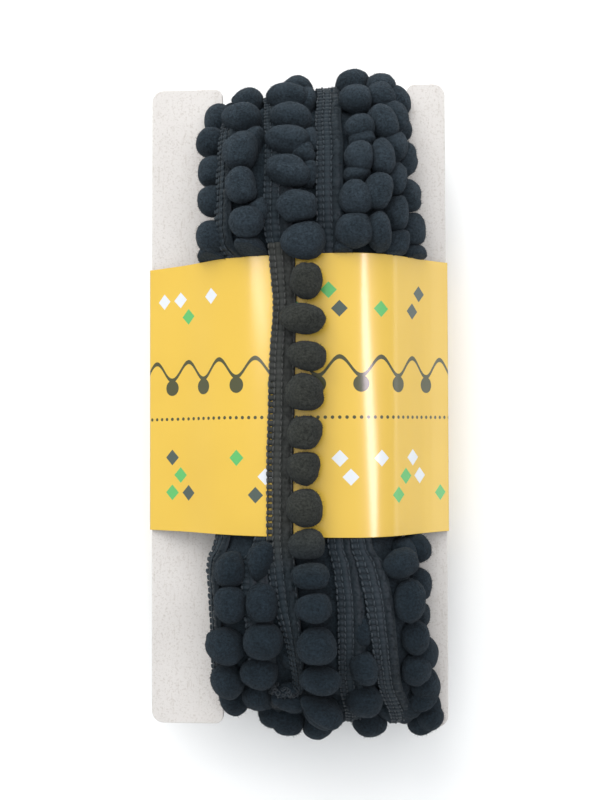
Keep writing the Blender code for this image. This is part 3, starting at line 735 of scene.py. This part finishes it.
# ---- materials ----

def feed(socket, value):
    """Link a signal to a socket, or set the socket to a number, a colour or a vector."""
    if isinstance(value, Signal):
        socket.id_data.links.new(value.socket, socket)
    else:
        socket.default_value = (*value, 1) if socket.type == "RGBA" else value


class Signal:
    """A shader node's output, to be added, multiplied and compared like a number."""

    def __init__(self, socket):
        self.socket = socket

    def apply(self, operation, *others):
        node = self.socket.id_data.nodes.new("ShaderNodeMath")
        node.operation = operation
        for socket, value in zip(node.inputs, (self, *others)):
            feed(socket, value)
        return Signal(node.outputs[0])

    __add__ = partialmethod(apply, "ADD")
    __sub__ = partialmethod(apply, "SUBTRACT")
    __mul__ = partialmethod(apply, "MULTIPLY")
    __truediv__ = partialmethod(apply, "DIVIDE")
    __mod__ = partialmethod(apply, "MODULO")
    __lt__ = partialmethod(apply, "LESS_THAN")
    __gt__ = partialmethod(apply, "GREATER_THAN")

    def between(self, low, high):
        return (self > low) * (self < high)


class Look:
    """A material whose nodes are made one by one and end in its Principled shader."""

    def __init__(self, name):
        self.material = bpy.data.materials.new(name)
        self.material.use_nodes = True
        self.nodes = self.material.node_tree.nodes
        self.place = self.node("TexCoord", "Object")
        self.local = self.node("Attribute", "Vector", attribute_name="local")

    def node(self, kind, output, **values):
        """A new node's output. A capital starts an input's name, with _ for a space."""
        node = self.nodes.new("ShaderNode" + kind)
        for name, value in values.items():
            if name.islower():
                setattr(node, name, value)
            else:
                feed(node.inputs[name.replace("_", " ")], value)
        return Signal(node.outputs[output])

    def finish(self, **inputs):
        """Feed the Principled shader's inputs and give the material."""
        for name, value in inputs.items():
            feed(self.nodes["Principled BSDF"].inputs[name.replace("_", " ")], value)
        return self.material

    def split(self, vector):
        outputs = self.node("SeparateXYZ", "X", Vector=vector).socket.node.outputs
        return [Signal(output) for output in outputs]

    def noise(self, vector, scale, detail=2, roughness=0.5):
        return self.node(
            "TexNoise", "Fac", Vector=vector, Scale=scale, Detail=detail, Roughness=roughness
        )

    def ramp(self, value, stops, colours):
        colour_out = self.node("ValToRGB", "Color", Fac=value)
        elements = colour_out.socket.node.color_ramp.elements
        for element, stop, colour in zip(elements, stops, colours):
            element.position = stop
            element.color = (*colour, 1)
        return colour_out

    def remap(self, value, old, new):
        """Move a value from one range to another, and keep it there."""
        return self.node(
            "MapRange", "Result", Value=value, From_Min=old[0], From_Max=old[1],
            To_Min=new[0], To_Max=new[1],
        )

    def mix(self, share, one, two, mode="MIX"):
        node = self.nodes.new("ShaderNodeMix")
        node.data_type = "RGBA"
        node.blend_type = mode
        for socket, value in zip((i for i in node.inputs if i.enabled), (share, one, two)):
            feed(socket, value)
        return Signal(next(output for output in node.outputs if output.enabled))

    def shaded(self, colour, shade, share=1):
        return self.mix(share, colour, shade, "MULTIPLY")

    def bump(self, height, strength, distance, **before):
        return self.node(
            "Bump", "Normal", Height=height, Strength=strength, Distance=distance, **before
        )

    def patches(self, scale, colours, paper_lit):
        """Soft patches of two colours, which beside the paper turn to two others that paint the
        light thrown up from it.
        """
        patches = self.noise(self.place, scale, 3)
        colour = self.ramp(patches, PATCH_STOPS, colours)
        if paper_lit:
            beside = self.remap(self.split(self.place)[1], PAPER_LIGHT_FROM_TO, (0, 1))
            colour = self.mix(beside, colour, self.ramp(patches, PATCH_STOPS, paper_lit))
        return colour


def grey(level):
    return (level, level, level)


PATCH_STOPS = (0.3, 0.7)
# Along the free end, in metres: from where it keeps its cold tone, below the band, to where it takes
# the painted light from the paper.
PAPER_LIGHT_FROM_TO = (BAND_BOTTOM * MM - 0.010, BAND_BOTTOM * MM + 0.004)
# How high on a pompom its foot and its top begin, and the painted shade's factors there: darker at
# the foot.
PAINTED_SHADE_LEVELS, PAINTED_SHADE_FACTORS = (0.05, 0.85), (0.92, 1.04)
FELT_STREAKS, SHEEN_TINT = (3, 14, 14), (0.75, 0.87, 1)


def felt_material(name, colours, sheen=0.05, paper_lit=None):
    """Felt of flecked fibres, with painted shade that darkens it towards a pompom's foot."""
    look = Look(name)
    grain = look.noise(look.place, 1500, 3, 0.75)
    stretched = look.node("Mapping", "Vector", Vector=look.local, Scale=FELT_STREAKS)
    streaks = look.noise(stretched, 1.6, 3)
    flecks = look.ramp(grain, (0.36, 0.64), (grey(0.55), grey(1.45)))
    # Painted shade: the felt is darker towards each pompom's foot and lighter on its top.
    painted_foot_shade = look.remap(look.split(look.local)[2], PAINTED_SHADE_LEVELS, PAINTED_SHADE_FACTORS)
    shade = painted_foot_shade * look.remap(streaks, (0.3, 0.7), (0.78, 1.22))
    felt = look.shaded(look.patches(150, colours, paper_lit), flecks)
    return look.finish(
        Base_Color=look.shaded(felt, shade), Roughness=0.95, Specular_IOR_Level=0.12,
        Sheen_Weight=sheen, Sheen_Roughness=0.6, Sheen_Tint=SHEEN_TINT,
        Normal=look.bump(streaks, 0.7, 0.0004, Normal=look.bump(grain, 0.9, 0.0004)),
    )


# The braid's levels at its deepest and highest, with the painted shade there, and where across it
# the tape is.
HOLLOW_CREST_LEVELS, PAINTED_HOLLOW_SHADES = (-0.4, 0.6), (0.68, 1.08)
TAPE_ACROSS = (4.7, 7.15)


def braid_material(name, colours, tape_share, shine, paper_lit=None):
    """Yarn with painted shade that darkens it in the braid's hollows, and duller on its tape."""
    look = Look(name)
    _, across, level = look.split(look.local)
    # Painted shade: the yarn is darker low in the braid's grooves and lighter on its raised parts.
    painted_hollow_shade = look.remap(level, HOLLOW_CREST_LEVELS, PAINTED_HOLLOW_SHADES)
    dull = across.between(*TAPE_ACROSS) * (tape_share - 1) + 1
    fibre_bump = look.bump(look.noise(look.place, 4200, 3, 0.65), 0.55, 0.00012)
    return look.finish(
        Base_Color=look.shaded(look.patches(300, colours, paper_lit), painted_hollow_shade * dull),
        Roughness=0.58, Specular_IOR_Level=shine, Sheen_Weight=0.06, Sheen_Roughness=0.5,
        Normal=look.bump(look.noise(look.place, 1500), 0.35, 0.0002, Normal=fibre_bump),
    )


BOARD_COLOURS = ((0.618, 0.59, 0.57), (0.658, 0.63, 0.61))
BOARD_SPECK, BOARD_FIBRE = (0.66, 0.62, 0.58), (0.8, 0.77, 0.74)
FIBRE_STRETCH = (1, 0.18, 1)


def board_material():
    """Pale grey recycled board with darker specks and fibres."""
    look = Look("board")
    clouds = look.ramp(look.noise(look.place, 60, 4), PATCH_STOPS, BOARD_COLOURS)
    specks = look.noise(look.place, 1700, 3, 0.7)
    stretched = look.node("Mapping", "Vector", Vector=look.place, Scale=FIBRE_STRETCH)
    fibres = look.noise(stretched, 1300, 2, 0.6)
    board = look.shaded(clouds, look.ramp(specks, (0.34, 0.47), (BOARD_SPECK, grey(1))), 0.5)
    fibrous = look.ramp(fibres, (0.3, 0.4), (BOARD_FIBRE, grey(1)))
    return look.finish(
        Base_Color=look.shaded(board, fibrous, 0.5), Roughness=0.92,
        Specular_IOR_Level=0.2, Normal=look.bump(specks, 0.35, 0.00012),
    )


PAPER_COLOURS = ((0.68, 0.436, 0.05), (0.706, 0.46, 0.056))
PRINT_GREEN, PRINT_WHITE = (0.1, 0.438, 0.12), (0.675, 0.7, 0.735)
PRINT_GREY, PRINT_DARK = (0.06, 0.084, 0.07), (0.058, 0.06, 0.02)
# How often the print repeats round the band.
PRINT_CELLS, STEP_SHIFT = 18, 400
# The diamonds: rows, half width, share shown, and from which tint on they change colour.
DIAMOND_LOWEST = BAND_BOTTOM - 1.5
DIAMOND_ROW, DIAMOND_SIZE, DIAMOND_SHARE = 5.2, 2.35, 0.36
DIAMOND_ROWS = ((1.5, 4.5), (11.5, 13.5))
WHITE_FROM, GREY_FROM = 0.42, 0.82
# The garland's middle, half height, half stroke and dots' radius, and the dotted line's.
GARLAND_LEVEL, GARLAND_HEIGHT, GARLAND_STROKE, GARLAND_DOT = 10, 2.6, 0.63, 2.3
DOTTED_LEVEL, DOTTED_COUNT, DOTTED_SIZE, TROUGH = -4.2, 6, 0.5, 0.75


def diamonds(look, along, level, cell):
    """Where staggered rows of diamonds are printed, and a random tint for each."""
    rows = (level - DIAMOND_LOWEST) / DIAMOND_ROW
    row = rows.apply("FLOOR")
    steps = along * 2 + row.apply("PINGPONG", 1) * 0.5
    step = steps.apply("FLOOR")
    side = (steps - step - 0.5).apply("ABSOLUTE") * (cell / 2)
    rise = (rows - row - 0.5).apply("ABSOLUTE") * DIAMOND_ROW
    # The shift keeps the step positive; the remainder is the same on the seam's sides.
    where = look.node("CombineXYZ", "Vector", X=(step + STEP_SHIFT) % (2 * PRINT_CELLS), Y=row)
    chance, colour = (look.node("TexWhiteNoise", out, Vector=where) for out in ("Value", "Color"))
    shown = (side + rise < DIAMOND_SIZE) * (chance < DIAMOND_SHARE)
    low_rows, high_rows = (row.between(*bounds) for bounds in DIAMOND_ROWS)
    return shown * (low_rows + high_rows), look.split(colour)[1]


def dots(along, level, cell, count, shift, centre, size):
    """Where a row of round dots is printed, count of them to a cell."""
    aside = ((along * count + shift).apply("FRACT") - 0.5) * (cell / count)
    away = level - centre
    return aside * aside + away * away < size * size


def garland(along, level, cell):
    """Where a wavy line with a dot under each trough and a dotted line are printed."""
    wave = (along * TURN).apply("SINE") * GARLAND_HEIGHT + GARLAND_LEVEL
    line = (level - wave).apply("ABSOLUTE") < GARLAND_STROKE
    hung_level = GARLAND_LEVEL - GARLAND_HEIGHT - GARLAND_DOT
    hung = dots(along, level, cell, 1, TROUGH, hung_level, GARLAND_DOT)
    dotted = dots(along, level, cell, DOTTED_COUNT, 0, DOTTED_LEVEL, DOTTED_SIZE)
    return line.apply("MAXIMUM", hung).apply("MAXIMUM", dotted)


def paper_material(cell):
    """Glossy yellow paper with a printed border of small diamonds and a garland."""
    look = Look("band_paper")
    along, level, _ = look.split(look.local)
    yellow = look.ramp(look.noise(look.place, 40), PATCH_STOPS, PAPER_COLOURS)
    shown, tint = diamonds(look, along, level, cell)
    accent = look.mix(tint > WHITE_FROM, PRINT_GREEN, PRINT_WHITE)
    accent = look.mix(tint > GREY_FROM, accent, PRINT_GREY)
    printed = look.mix(shown, yellow, accent)
    return look.finish(
        Base_Color=look.mix(garland(along, level, cell), printed, PRINT_DARK), Roughness=0.38,
        Specular_IOR_Level=0.3, Coat_Weight=0.8, Coat_Roughness=0.18,
        Normal=look.bump(look.noise(look.place, 55, 1), 0.12, 0.0005),
    )


FELT_COLOURS = ((0.0148, 0.0224, 0.0292), (0.0224, 0.0323, 0.0417))
# The low end's felt is the same felt made darker, as painted shade; the free end's pompoms start
# from it too.
SHADED_LOW_FELT_COLOURS = ((0.008, 0.0137, 0.0187), (0.0122, 0.0198, 0.0271))
# The inner turns' yarn is the felt made darker, as painted shade deep between the pompoms.
SHADED_CORE_COLOURS = ((0.01, 0.0155, 0.02), (0.015, 0.0222, 0.029))
WEFT_COLOURS = ((0.0108, 0.0177, 0.0235), (0.0156, 0.0241, 0.0312))
# The chains' yarn is lighter than the weft's: partly a shinier yarn, partly painted highlight on the
# raised stitches.
CHAIN_COLOURS_WITH_HIGHLIGHT = ((0.0172, 0.026, 0.0335), (0.0233, 0.0336, 0.042))
# Lighter, warmer tones for the free end over the band: painted light thrown up from the yellow
# paper.
PAPER_LIT_FELT = ((0.0225, 0.024, 0.0205), (0.032, 0.0335, 0.0285))
PAPER_LIT_WEFT = ((0.029, 0.0315, 0.0295), (0.04, 0.0425, 0.04))
PAPER_LIT_CHAIN = ((0.047, 0.049, 0.0465), (0.062, 0.065, 0.0615))

FELT = felt_material("pompom_felt", FELT_COLOURS)
SHADED_LOW_FELT = felt_material("shaded_low_pompom_felt", SHADED_LOW_FELT_COLOURS)
FREE_FELT = felt_material("free_pompom_felt", SHADED_LOW_FELT_COLOURS, paper_lit=PAPER_LIT_FELT)
CORE_YARN = felt_material("inner_yarn", SHADED_CORE_COLOURS, 0.04)
WEFT_YARN = braid_material("braid_yarn", WEFT_COLOURS, 0.8, 0.2)
CHAIN_YARN = braid_material("chain_yarn", CHAIN_COLOURS_WITH_HIGHLIGHT, 1, 0.4)
FREE_WEFT_YARN = braid_material("free_braid_yarn", WEFT_COLOURS, 0.8, 0.2, PAPER_LIT_WEFT)
FREE_CHAIN_YARN = braid_material("free_chain_yarn", CHAIN_COLOURS_WITH_HIGHLIGHT, 1, 0.4, PAPER_LIT_CHAIN)


# ---- winding ----

FREE_TURN = "top_2"
# Where the turns' braids run, how deep their ribs are and how many chains they show.
BRAID_SPAN, FREE_TURN_SPAN = (0.8, 16.6), (1.9, 16.6)
RIB_DEPTH, RIBS = 0.75, {"low_0": 0.4, "low_2": 0.2, "low_4": 0.55, "low_5": 0.55}
TURN_CHAINS, CHAIN_ROWS = 3, {"low_2": 1}
FULLNESS = 1.07
# The inner turns' grid and depth, and the lumps on them, raised towards the tip.
CORE_GRID, CORE_DEPTH = (60, 40), 2.2
LUMP_PLACES = np.arange(1.4, 16.2, 0.95)
LUMP_FROM, LUMP_SHIFT, LUMP_PITCH, LUMP_MARGIN = 3, 4.5, 9.2, 2
LUMP_JITTER, LUMP_RADII, LUMP_DEPTH = (0.12, 0.8), (4.4, 5.4), 6
TIP_RAISE, TIP_WIDTH = 1.8, 1.5
# The pompoms past the table's last one; their depth and lift change once behind.
BACK_ACROSS, BACK_ALONG, BACK_TILT = (4.5, 5.3), (4.8, 5.5), 20
BACK_DEEP, BACK_LIFT, BEHIND_FROM_TO = (4.6, 3.5), (0.8, 0.3), (8, 12)
BACK_LAST = BACK_EDGE + 0.4


def winding_core():
    """The inner turns as one closed form under those that show."""
    half, width = CORE_GRID
    places = np.linspace(0, len(STATIONS) - 1, half)
    across = np.linspace(0, GIRTH, width)
    rows = []
    for end, end_places in ((1, places), (-1, places[::-1])):
        point, normal, _, _ = frames(end, end_places[:, None], across)
        rows.append(point - normal * CORE_DEPTH)
    index = grid(2 * half, width)
    faces = flat_list(quads(index, np.roll(index, -1, axis=0)))
    for column in (0, width - 1):
        for start in (0, half):
            side = index[start:start + half, column].tolist()
            for i in range(half // 2 - 1):
                corners = [side[i], side[i + 1], side[half - 2 - i], side[half - 1 - i]]
                faces.append(corners if column else corners[::-1])
    return np.concatenate(rows).reshape(-1, 3), faces


def add_lumps(crowd, core, rng, end):
    """Lumps of the inner turns, which show between the outer pompoms."""
    for row, place in enumerate(LUMP_PLACES):
        raised = TIP_RAISE * math.exp(-(((place - TIP) / TIP_WIDTH) ** 2))
        for across in np.arange(LUMP_FROM + LUMP_SHIFT * (row % 2), GIRTH - LUMP_MARGIN, LUMP_PITCH):
            jitter = rng.normal(size=2) * LUMP_JITTER
            spot, normal, along, sideways = frames(end, place + jitter[0], across + jitter[1])
            crowd.add(
                core, rng, spot, (along, sideways, normal), rng.uniform(*LUMP_RADII, 3),
                rng.uniform(0, 180), raised - LUMP_DEPTH, ROUGH_BALL, pressed,
            )


def add_pompoms(crowd, heaps, rng, name, turn):
    """A turn's pompoms: the table's, then one each pitch to under the band behind."""
    def add(parts, place, across, *shape):
        spot, normal, along, sideways = frames(turn.end, place, across)
        crowd.add(heaps[parts], rng, spot, (along * -turn.end, sideways, normal), *shape)

    last_place = FRONT_EDGE
    for place, across, half_across, half_along, tilt, lift in POMPOMS.get(name, ()):
        radii = np.array((half_across, half_along, pompom_depth(half_across, half_along)))
        add(
            "pompoms_front", place, across, FULLNESS * radii, -tilt, lift, FINE_BALL,
            untouched if name == FREE_TURN else pressed, heaps["fuzz"], HAIRS_FRONT,
        )
        last_place = max(last_place, place)
    places, lengths = walk(turn, pompom_across, last_place, BACK_LAST)
    start = POMPOM_PITCH if name in POMPOMS else turn.start
    for place in np.interp(np.arange(start, lengths[-1], POMPOM_PITCH), lengths, places):
        behind = np.interp(place, BEHIND_FROM_TO, (0, 1))
        radii = (rng.uniform(*BACK_ACROSS), rng.uniform(*BACK_ALONG), lerp(*BACK_DEEP, behind))
        add(
            "pompoms_back", place, pompom_across(turn, place), radii,
            rng.uniform(-BACK_TILT, BACK_TILT), lerp(*BACK_LIFT, behind), PLAIN_BALL,
            pressed, heaps["fuzz"], HAIRS_BACK,
        )


def add_braid(heaps, rng, name, turn):
    span, bound = (FREE_TURN_SPAN, untouched) if name == FREE_TURN else (BRAID_SPAN, pressed)
    length = walk(turn, turn_across, *span)[1][-1]
    for label, (flat, faces) in (
        ("braids", flat_ground(length, False, RIBS.get(name, RIB_DEPTH))),
        ("stitches", flat_chains(length, rng, CHAIN_ROWS.get(name, TURN_CHAINS))),
        ("fuzz", flat_fuzz(length, rng)),
    ):
        lifted = flat + (0, 0, turn.lift)
        heaps[label].add(bound(on_turn(turn, lifted, *span)), faces, flat)


def build_winding(crowd):
    """The inner turns and each end's pieces: parts, material and name."""
    rng = np.random.default_rng(SEED)
    core = Parts()
    points, faces = winding_core()
    # The inner turns take the level of a pompom's top, where the felt's painted shade is lightest.
    core.add(pressed(points), faces, np.full_like(points, PAINTED_SHADE_LEVELS[1]))
    pieces = [(core, CORE_YARN, "winding_core")]
    for end in (1, -1):
        add_lumps(crowd, core, rng, end)
    for end, label, felt in ((1, "top", FELT), (-1, "low", SHADED_LOW_FELT)):
        looks = {
            "pompoms_front": felt, "pompoms_back": felt, "braids": WEFT_YARN,
            "stitches": CHAIN_YARN, "fuzz": felt,
        }
        heaps = {name: Parts() for name in looks}
        for name, turn in TURNS.items():
            if turn.end == end:
                add_pompoms(crowd, heaps, rng, name, turn)
                if turn.braid:
                    add_braid(heaps, rng, name, turn)
        pieces += [(heaps[name], looks[name], f"{name}_{label}") for name in looks]
    return pieces


# ---- free end ----

FREE_RIBS, FREE_ROLL = 0.6, 12
# How far the free end's pompoms are stretched in over the braid.
TOWARDS_BRAID = 0.6
# The frayed knot at its tip: small loops over crumpled lumps of given middle and radii.
KNOT_MIDDLE = np.array((-2.9, -81.4, 40.6))
KNOT_SLOPE, KNOT_HALF = math.radians(38), (2.5, 4.4)
KNOT_CROWN, KNOT_DROP, KNOT_UNEVEN = 1, 1.6, (-0.5, 0.7)
KNOT_LOOPS, LOOP_RADIUS, LOOP_YARN, LOOP_GRID = 44, (0.35, 0.75), 0.17, (14, 5)
KNOT_LUMPS = (
    ((-3, -81.4, 39.6), (4, 2.2, 2)), ((-1.3, -85.2, 38.2), (4.3, 2.7, 2.5)),
    ((-4.6, -84, 38.4), (2.6, 2.2, 2)),
)


def yarn_loop(middle, first, second, radius):
    """A closed loop of yarn round a middle, in the plane of two directions."""
    turn, yarn = (np.linspace(0, TURN, count, endpoint=False) for count in LOOP_GRID)
    turn = turn[:, None, None]
    yarn = yarn[None, :, None]
    out = first * np.cos(turn) + second * np.sin(turn)
    side = np.cross(first, second)
    points = middle + out * (radius + LOOP_YARN * np.cos(yarn)) + side * LOOP_YARN * np.sin(yarn)
    index = grid(*LOOP_GRID, True)
    return points.reshape(-1, 3), flat_list(quads(np.roll(index, -1, axis=0), index))


def add_knot(crowd, chains, lumps, hairs, rng):
    downward = np.array((0, -math.cos(KNOT_SLOPE), -math.sin(KNOT_SLOPE)))
    outward = np.array((0, -math.sin(KNOT_SLOPE), math.cos(KNOT_SLOPE)))
    sideways = np.array((1, 0, 0))
    for spot, radii in KNOT_LUMPS:
        crowd.add(
            lumps, rng, np.array(spot), (downward, sideways, outward), radii,
            rng.uniform(-BACK_TILT, BACK_TILT), 0, PLAIN_BALL, untouched, hairs, HAIRS_BACK,
        )
    for _ in range(KNOT_LOOPS):
        angle = rng.uniform(0, TURN)
        share = math.sqrt(rng.uniform(0, 1))
        middle = KNOT_MIDDLE + downward * KNOT_HALF[0] * share * math.cos(angle)
        middle = middle + sideways * KNOT_HALF[1] * share * math.sin(angle)
        rise = KNOT_CROWN + rng.uniform(*KNOT_UNEVEN) - KNOT_DROP * share ** 2
        first = unit(rng.normal(size=3) + outward)
        second = unit(np.cross(first, rng.normal(size=3)))
        radius = rng.uniform(*LOOP_RADIUS)
        chains.add(*yarn_loop(middle + outward * rise, first, second, radius))


def build_free_end(crowd):
    """The free end's tape, stitches, pompoms and loose fibres."""
    rng = np.random.default_rng(SEED + 1)
    length = FREE_LENGTHS[-1]
    tape, chains, lumps, hairs = heaps = [Parts() for _ in range(4)]
    for parts, (flat, faces) in (
        (tape, flat_ground(length, True, FREE_RIBS)),
        (chains, flat_chains(length, rng, len(CHAINS))), (hairs, flat_fuzz(length, rng)),
    ):
        parts.add(above_band(on_free_end(flat)), faces, flat)
    for down, offset, half_across, half_along, tilt, lift in FREE_POMPOMS:
        place = np.array([np.interp(down, FREE_LENGTHS, FREE_PLACES)])
        base, normal, along, sideways, row = free_frames(place)
        roll = np.radians(np.minimum(row[:, ROLL], FREE_ROLL))
        wide, thick = turned(sideways, normal, roll)
        spot = base + normal * FREE_THICK / 2 + wide * (offset - TOWARDS_BRAID)
        radii = (half_across + TOWARDS_BRAID, half_along, pompom_depth(half_across, half_along))
        crowd.add(
            lumps, rng, spot[0], (along[0], wide[0], thick[0]), radii, tilt, lift, FINE_BALL,
            above_band, hairs, HAIRS_FRONT,
        )
    add_knot(crowd, chains, lumps, hairs, rng)
    return heaps


# ---- band and card ----

# The paper is drawn in to the card's sides past SIDE_FROM, and its top edge drops there
# on the left. Its outermost rows are narrow, so that its shading stays flat to its edges.
SIDE_FROM, SIDE_DRAW = 38, 0.88
CORNER_DROP, CORNER_FROM_TO = 1.1, (20, 44)
EDGE_ROW = 0.12
BAND_STEPS, BAND_ROWS, CORNER_STEPS = 12, 32, 11
# How the paper waves: how many times round, how high and how slanting.
WAVE_COUNT, WAVE_TIMES, WAVE_SIZES, WAVE_SLOPES = 6, (3, 9), (0.01, 0.03), (0.02, 0.06)
WAVE_SHIFTS, WAVE_DEPTH, WAVE_RISE = (0, 6.3), 0.3, 0.25


def build_band():
    """The band, whose print runs by cells round it and by levels along the card."""
    rng = np.random.default_rng(SEED + 2)
    line = band_line(BAND_STEPS)
    # The seam's column is doubled, so that the print's coordinate doesn't run back.
    closed = np.concatenate((line, line[:1]))
    lengths = travelled(closed)
    girth = lengths[-1]
    steps = unit(np.diff(closed, axis=0))
    tangent = unit(steps + np.roll(steps, 1, axis=0))
    tangent = np.concatenate((tangent, tangent[:1]))
    outward = np.stack((-tangent[:, 1], tangent[:, 0]), -1)
    levels = np.linspace(BAND_BOTTOM + EDGE_ROW, BAND_TOP - EDGE_ROW, BAND_ROWS)
    levels = np.concatenate(([BAND_BOTTOM], levels, [BAND_TOP]))[:, None]
    swell = 0
    for _ in range(WAVE_COUNT):
        times, size = rng.integers(*WAVE_TIMES), rng.uniform(*WAVE_SIZES)
        shift, slope = rng.uniform(*WAVE_SHIFTS), rng.uniform(*WAVE_SLOPES)
        swell += size * np.sin(times * lengths / girth * TURN + shift + levels * slope)
    ring = closed + outward * (WAVE_RISE * swell - WAVE_DEPTH)[..., None]
    past = np.maximum(np.abs(ring[..., 0]) - SIDE_FROM, 0)
    side = ring[..., 0] - np.sign(ring[..., 0]) * past * (1 - SIDE_DRAW)
    share = (levels - BAND_BOTTOM) / (BAND_TOP - BAND_BOTTOM)
    drop = CORNER_DROP * share * np.interp(-side, CORNER_FROM_TO, (0, 1))
    points = np.stack((side, levels - drop, ring[..., 1] + CARD_LIFT), -1)
    cells = np.broadcast_to(lengths / girth * PRINT_CELLS, side.shape)
    local = np.stack((cells, levels + side * 0, side * 0), -1)
    index = grid(*side.shape)
    parts = Parts()
    faces = flat_list(quads(index[:-1], index[1:]))
    parts.add(points.reshape(-1, 3), faces, local.reshape(-1, 3))
    band = parts.piece("paper_band", paper_material(girth / PRINT_CELLS), "band_paper")
    solid = band.modifiers.new("Thickness", "SOLIDIFY")
    solid.thickness = PAPER_THICK * MM
    solid.offset = 0
    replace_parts(band, "band")
    return band


def rounded_outline(corners, radii):
    """A polygon's outline with each corner rounded."""
    corners = np.array(corners)
    before, after = (np.roll(corners, shift, axis=0) for shift in (1, -1))
    back = unit(before - corners) * radii[:, None]
    ahead = unit(after - corners) * radii[:, None]
    angle = np.linspace(0, math.pi / 2, CORNER_STEPS)[:, None]
    rounded = [
        corner + one * (1 - np.sin(angle)) + other * (1 - np.cos(angle))
        for corner, one, other in zip(corners, back, ahead)
    ]
    return np.concatenate(rounded)


def build_card():
    """The board, with a deep notch between rounded horns at each end."""
    half_x, half_y = CARD_WIDTH / 2, CARD_LENGTH / 2
    floor = half_y - NOTCH_DEPTH
    corners = [
        (half_x, half_y), (NOTCH_RIGHT, half_y), (NOTCH_RIGHT, floor), (NOTCH_LEFT, floor),
        (NOTCH_LEFT, half_y), (-half_x, half_y),
    ]
    corners += [(x, -y) for x, y in corners[::-1]]
    radii = np.array((CARD_CORNERS + CARD_CORNERS[::-1]) * 2)
    low = CARD_LIFT - CARD_THICK / 2
    bm = bmesh.new()
    outline = rounded_outline(corners, radii)
    face = bm.faces.new([bm.verts.new((x * MM, y * MM, low * MM)) for x, y in outline])
    grown = bmesh.ops.extrude_face_region(bm, geom=[face])["geom"]
    top = [item for item in grown if isinstance(item, bmesh.types.BMVert)]
    bmesh.ops.translate(bm, verts=top, vec=(0, 0, CARD_THICK * MM))
    bmesh.ops.recalc_face_normals(bm, faces=bm.faces)
    rims = [e for e in bm.edges if any(len(f.verts) > 4 for f in e.link_faces)]
    bmesh.ops.bevel(bm, geom=rims, offset=CARD_BEVEL * MM, segments=2, affect="EDGES", profile=0.5)
    mesh = bpy.data.meshes.new("board_card")
    bm.to_mesh(mesh)
    bm.free()
    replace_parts(new_piece("board_card", mesh, board_material()), "card")


# ---- floor, light and camera, in metres ----

LIGHT_AIM = Vector((0.01, 0, 0.04))
ROOM_COLOUR, ROOM_STRENGTH = (0.95, 0.98, 1), 0.69
FLOOR_HALF, FLOOR_LEVEL = 3, 0.96
# Lights: name, the middles of both ends, width, energy and colour. The soft ones don't
# show as gloss; the others only do.
LIGHTS = (
    ("soft_key", (-0.73, 0.82, 0.58), (0.17, 0.82, 0.58), 0.9, 8, (1, 0.99, 0.97)),
    ("soft_top", (-0.33, 0.25, 0.95), (0.57, 0.25, 0.95), 0.9, 4.6, (1, 1, 1)),
    ("strip_right", (0.367, 0.176, 0.86), (0.743, -0.125, 0.58), 0.16, 4.7, (1, 0.86, 1)),
    ("strip_left", (-0.62, 0.175, 0.695), (-0.484, 0.111, 0.803), 0.06, 0.6, (1, 0.92, 1)),
    ("side_right", (1, 0.75, 0.07), (1, -0.85, 0.07), 0.13, 1.5, (0.95, 0.97, 1)),
)
CAMERA_PLACE = (0.024273, -0.007054, 0.351567)
CAMERA_TURNS = (("Z", -0.1642), ("Y", 4.1401), ("X", 1.4215))


def add_light(name, one, other, width, energy, colour):
    """A lit rectangle that faces the object."""
    one, other = Vector(one), Vector(other)
    light = bpy.data.lights.new(name, "AREA")
    light.shape = "RECTANGLE"
    light.size = (other - one).length
    light.size_y = width
    light.energy = energy
    light.color = colour
    middle = (one + other) / 2
    out = (middle - LIGHT_AIM).normalized()
    across = (other - one - out * (other - one).dot(out)).normalized()
    axes = Matrix((across, out.cross(across), out)).transposed().to_4x4()
    lamp = placed(name, light)
    lamp.matrix_world = Matrix.Translation(middle) @ axes
    lamp.visible_glossy = not name.startswith("soft")
    lamp.visible_diffuse = name.startswith("soft")


def build_studio():
    size = FLOOR_HALF
    mesh = bpy.data.meshes.new("floor")
    corners = [(-size, -size, 0), (size, -size, 0), (size, size, 0), (-size, size, 0)]
    mesh.from_pydata(corners, [], [(0, 1, 2, 3)])
    mesh.materials.append(Look("floor").finish(
        Base_Color=grey(FLOOR_LEVEL), Roughness=0.9, Specular_IOR_Level=0.1
    ))
    placed("floor", mesh)
    for row in LIGHTS:
        add_light(*row)

    scene = bpy.context.scene
    scene.world = bpy.data.worlds.new("studio")
    scene.world.use_nodes = True
    background = scene.world.node_tree.nodes["Background"]
    feed(background.inputs["Color"], ROOM_COLOUR)
    feed(background.inputs["Strength"], ROOM_STRENGTH)
    scene.view_settings.view_transform = "Standard"
    camera = bpy.data.cameras.new("camera")
    camera.sensor_fit = "VERTICAL"
    camera.sensor_height = 24
    camera.lens = 33
    eye = placed("camera", camera)
    eye.matrix_world = Matrix.Translation(CAMERA_PLACE)
    for axis, degrees in CAMERA_TURNS:
        eye.matrix_world = eye.matrix_world @ Matrix.Rotation(math.radians(degrees), 4, axis)
    scene.camera = eye


build_card()
crowd = Crowd()
winding = build_winding(crowd)
free_heaps = build_free_end(crowd)
crowd.settle()
core_piece, *_ = [parts.piece(name, look, "trim_yarn") for parts, look, name in winding]
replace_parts(core_piece, "winding")
tape, *others = [
    parts.piece("free_" + name, look, "trim_yarn") for parts, name, look in zip(
        free_heaps, ("tape", "stitches", "pompoms", "fuzz"),
        (FREE_WEFT_YARN, FREE_CHAIN_YARN, FREE_FELT, FREE_FELT),
    )
]
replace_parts(tape, "free_end")
build_band()
build_studio()
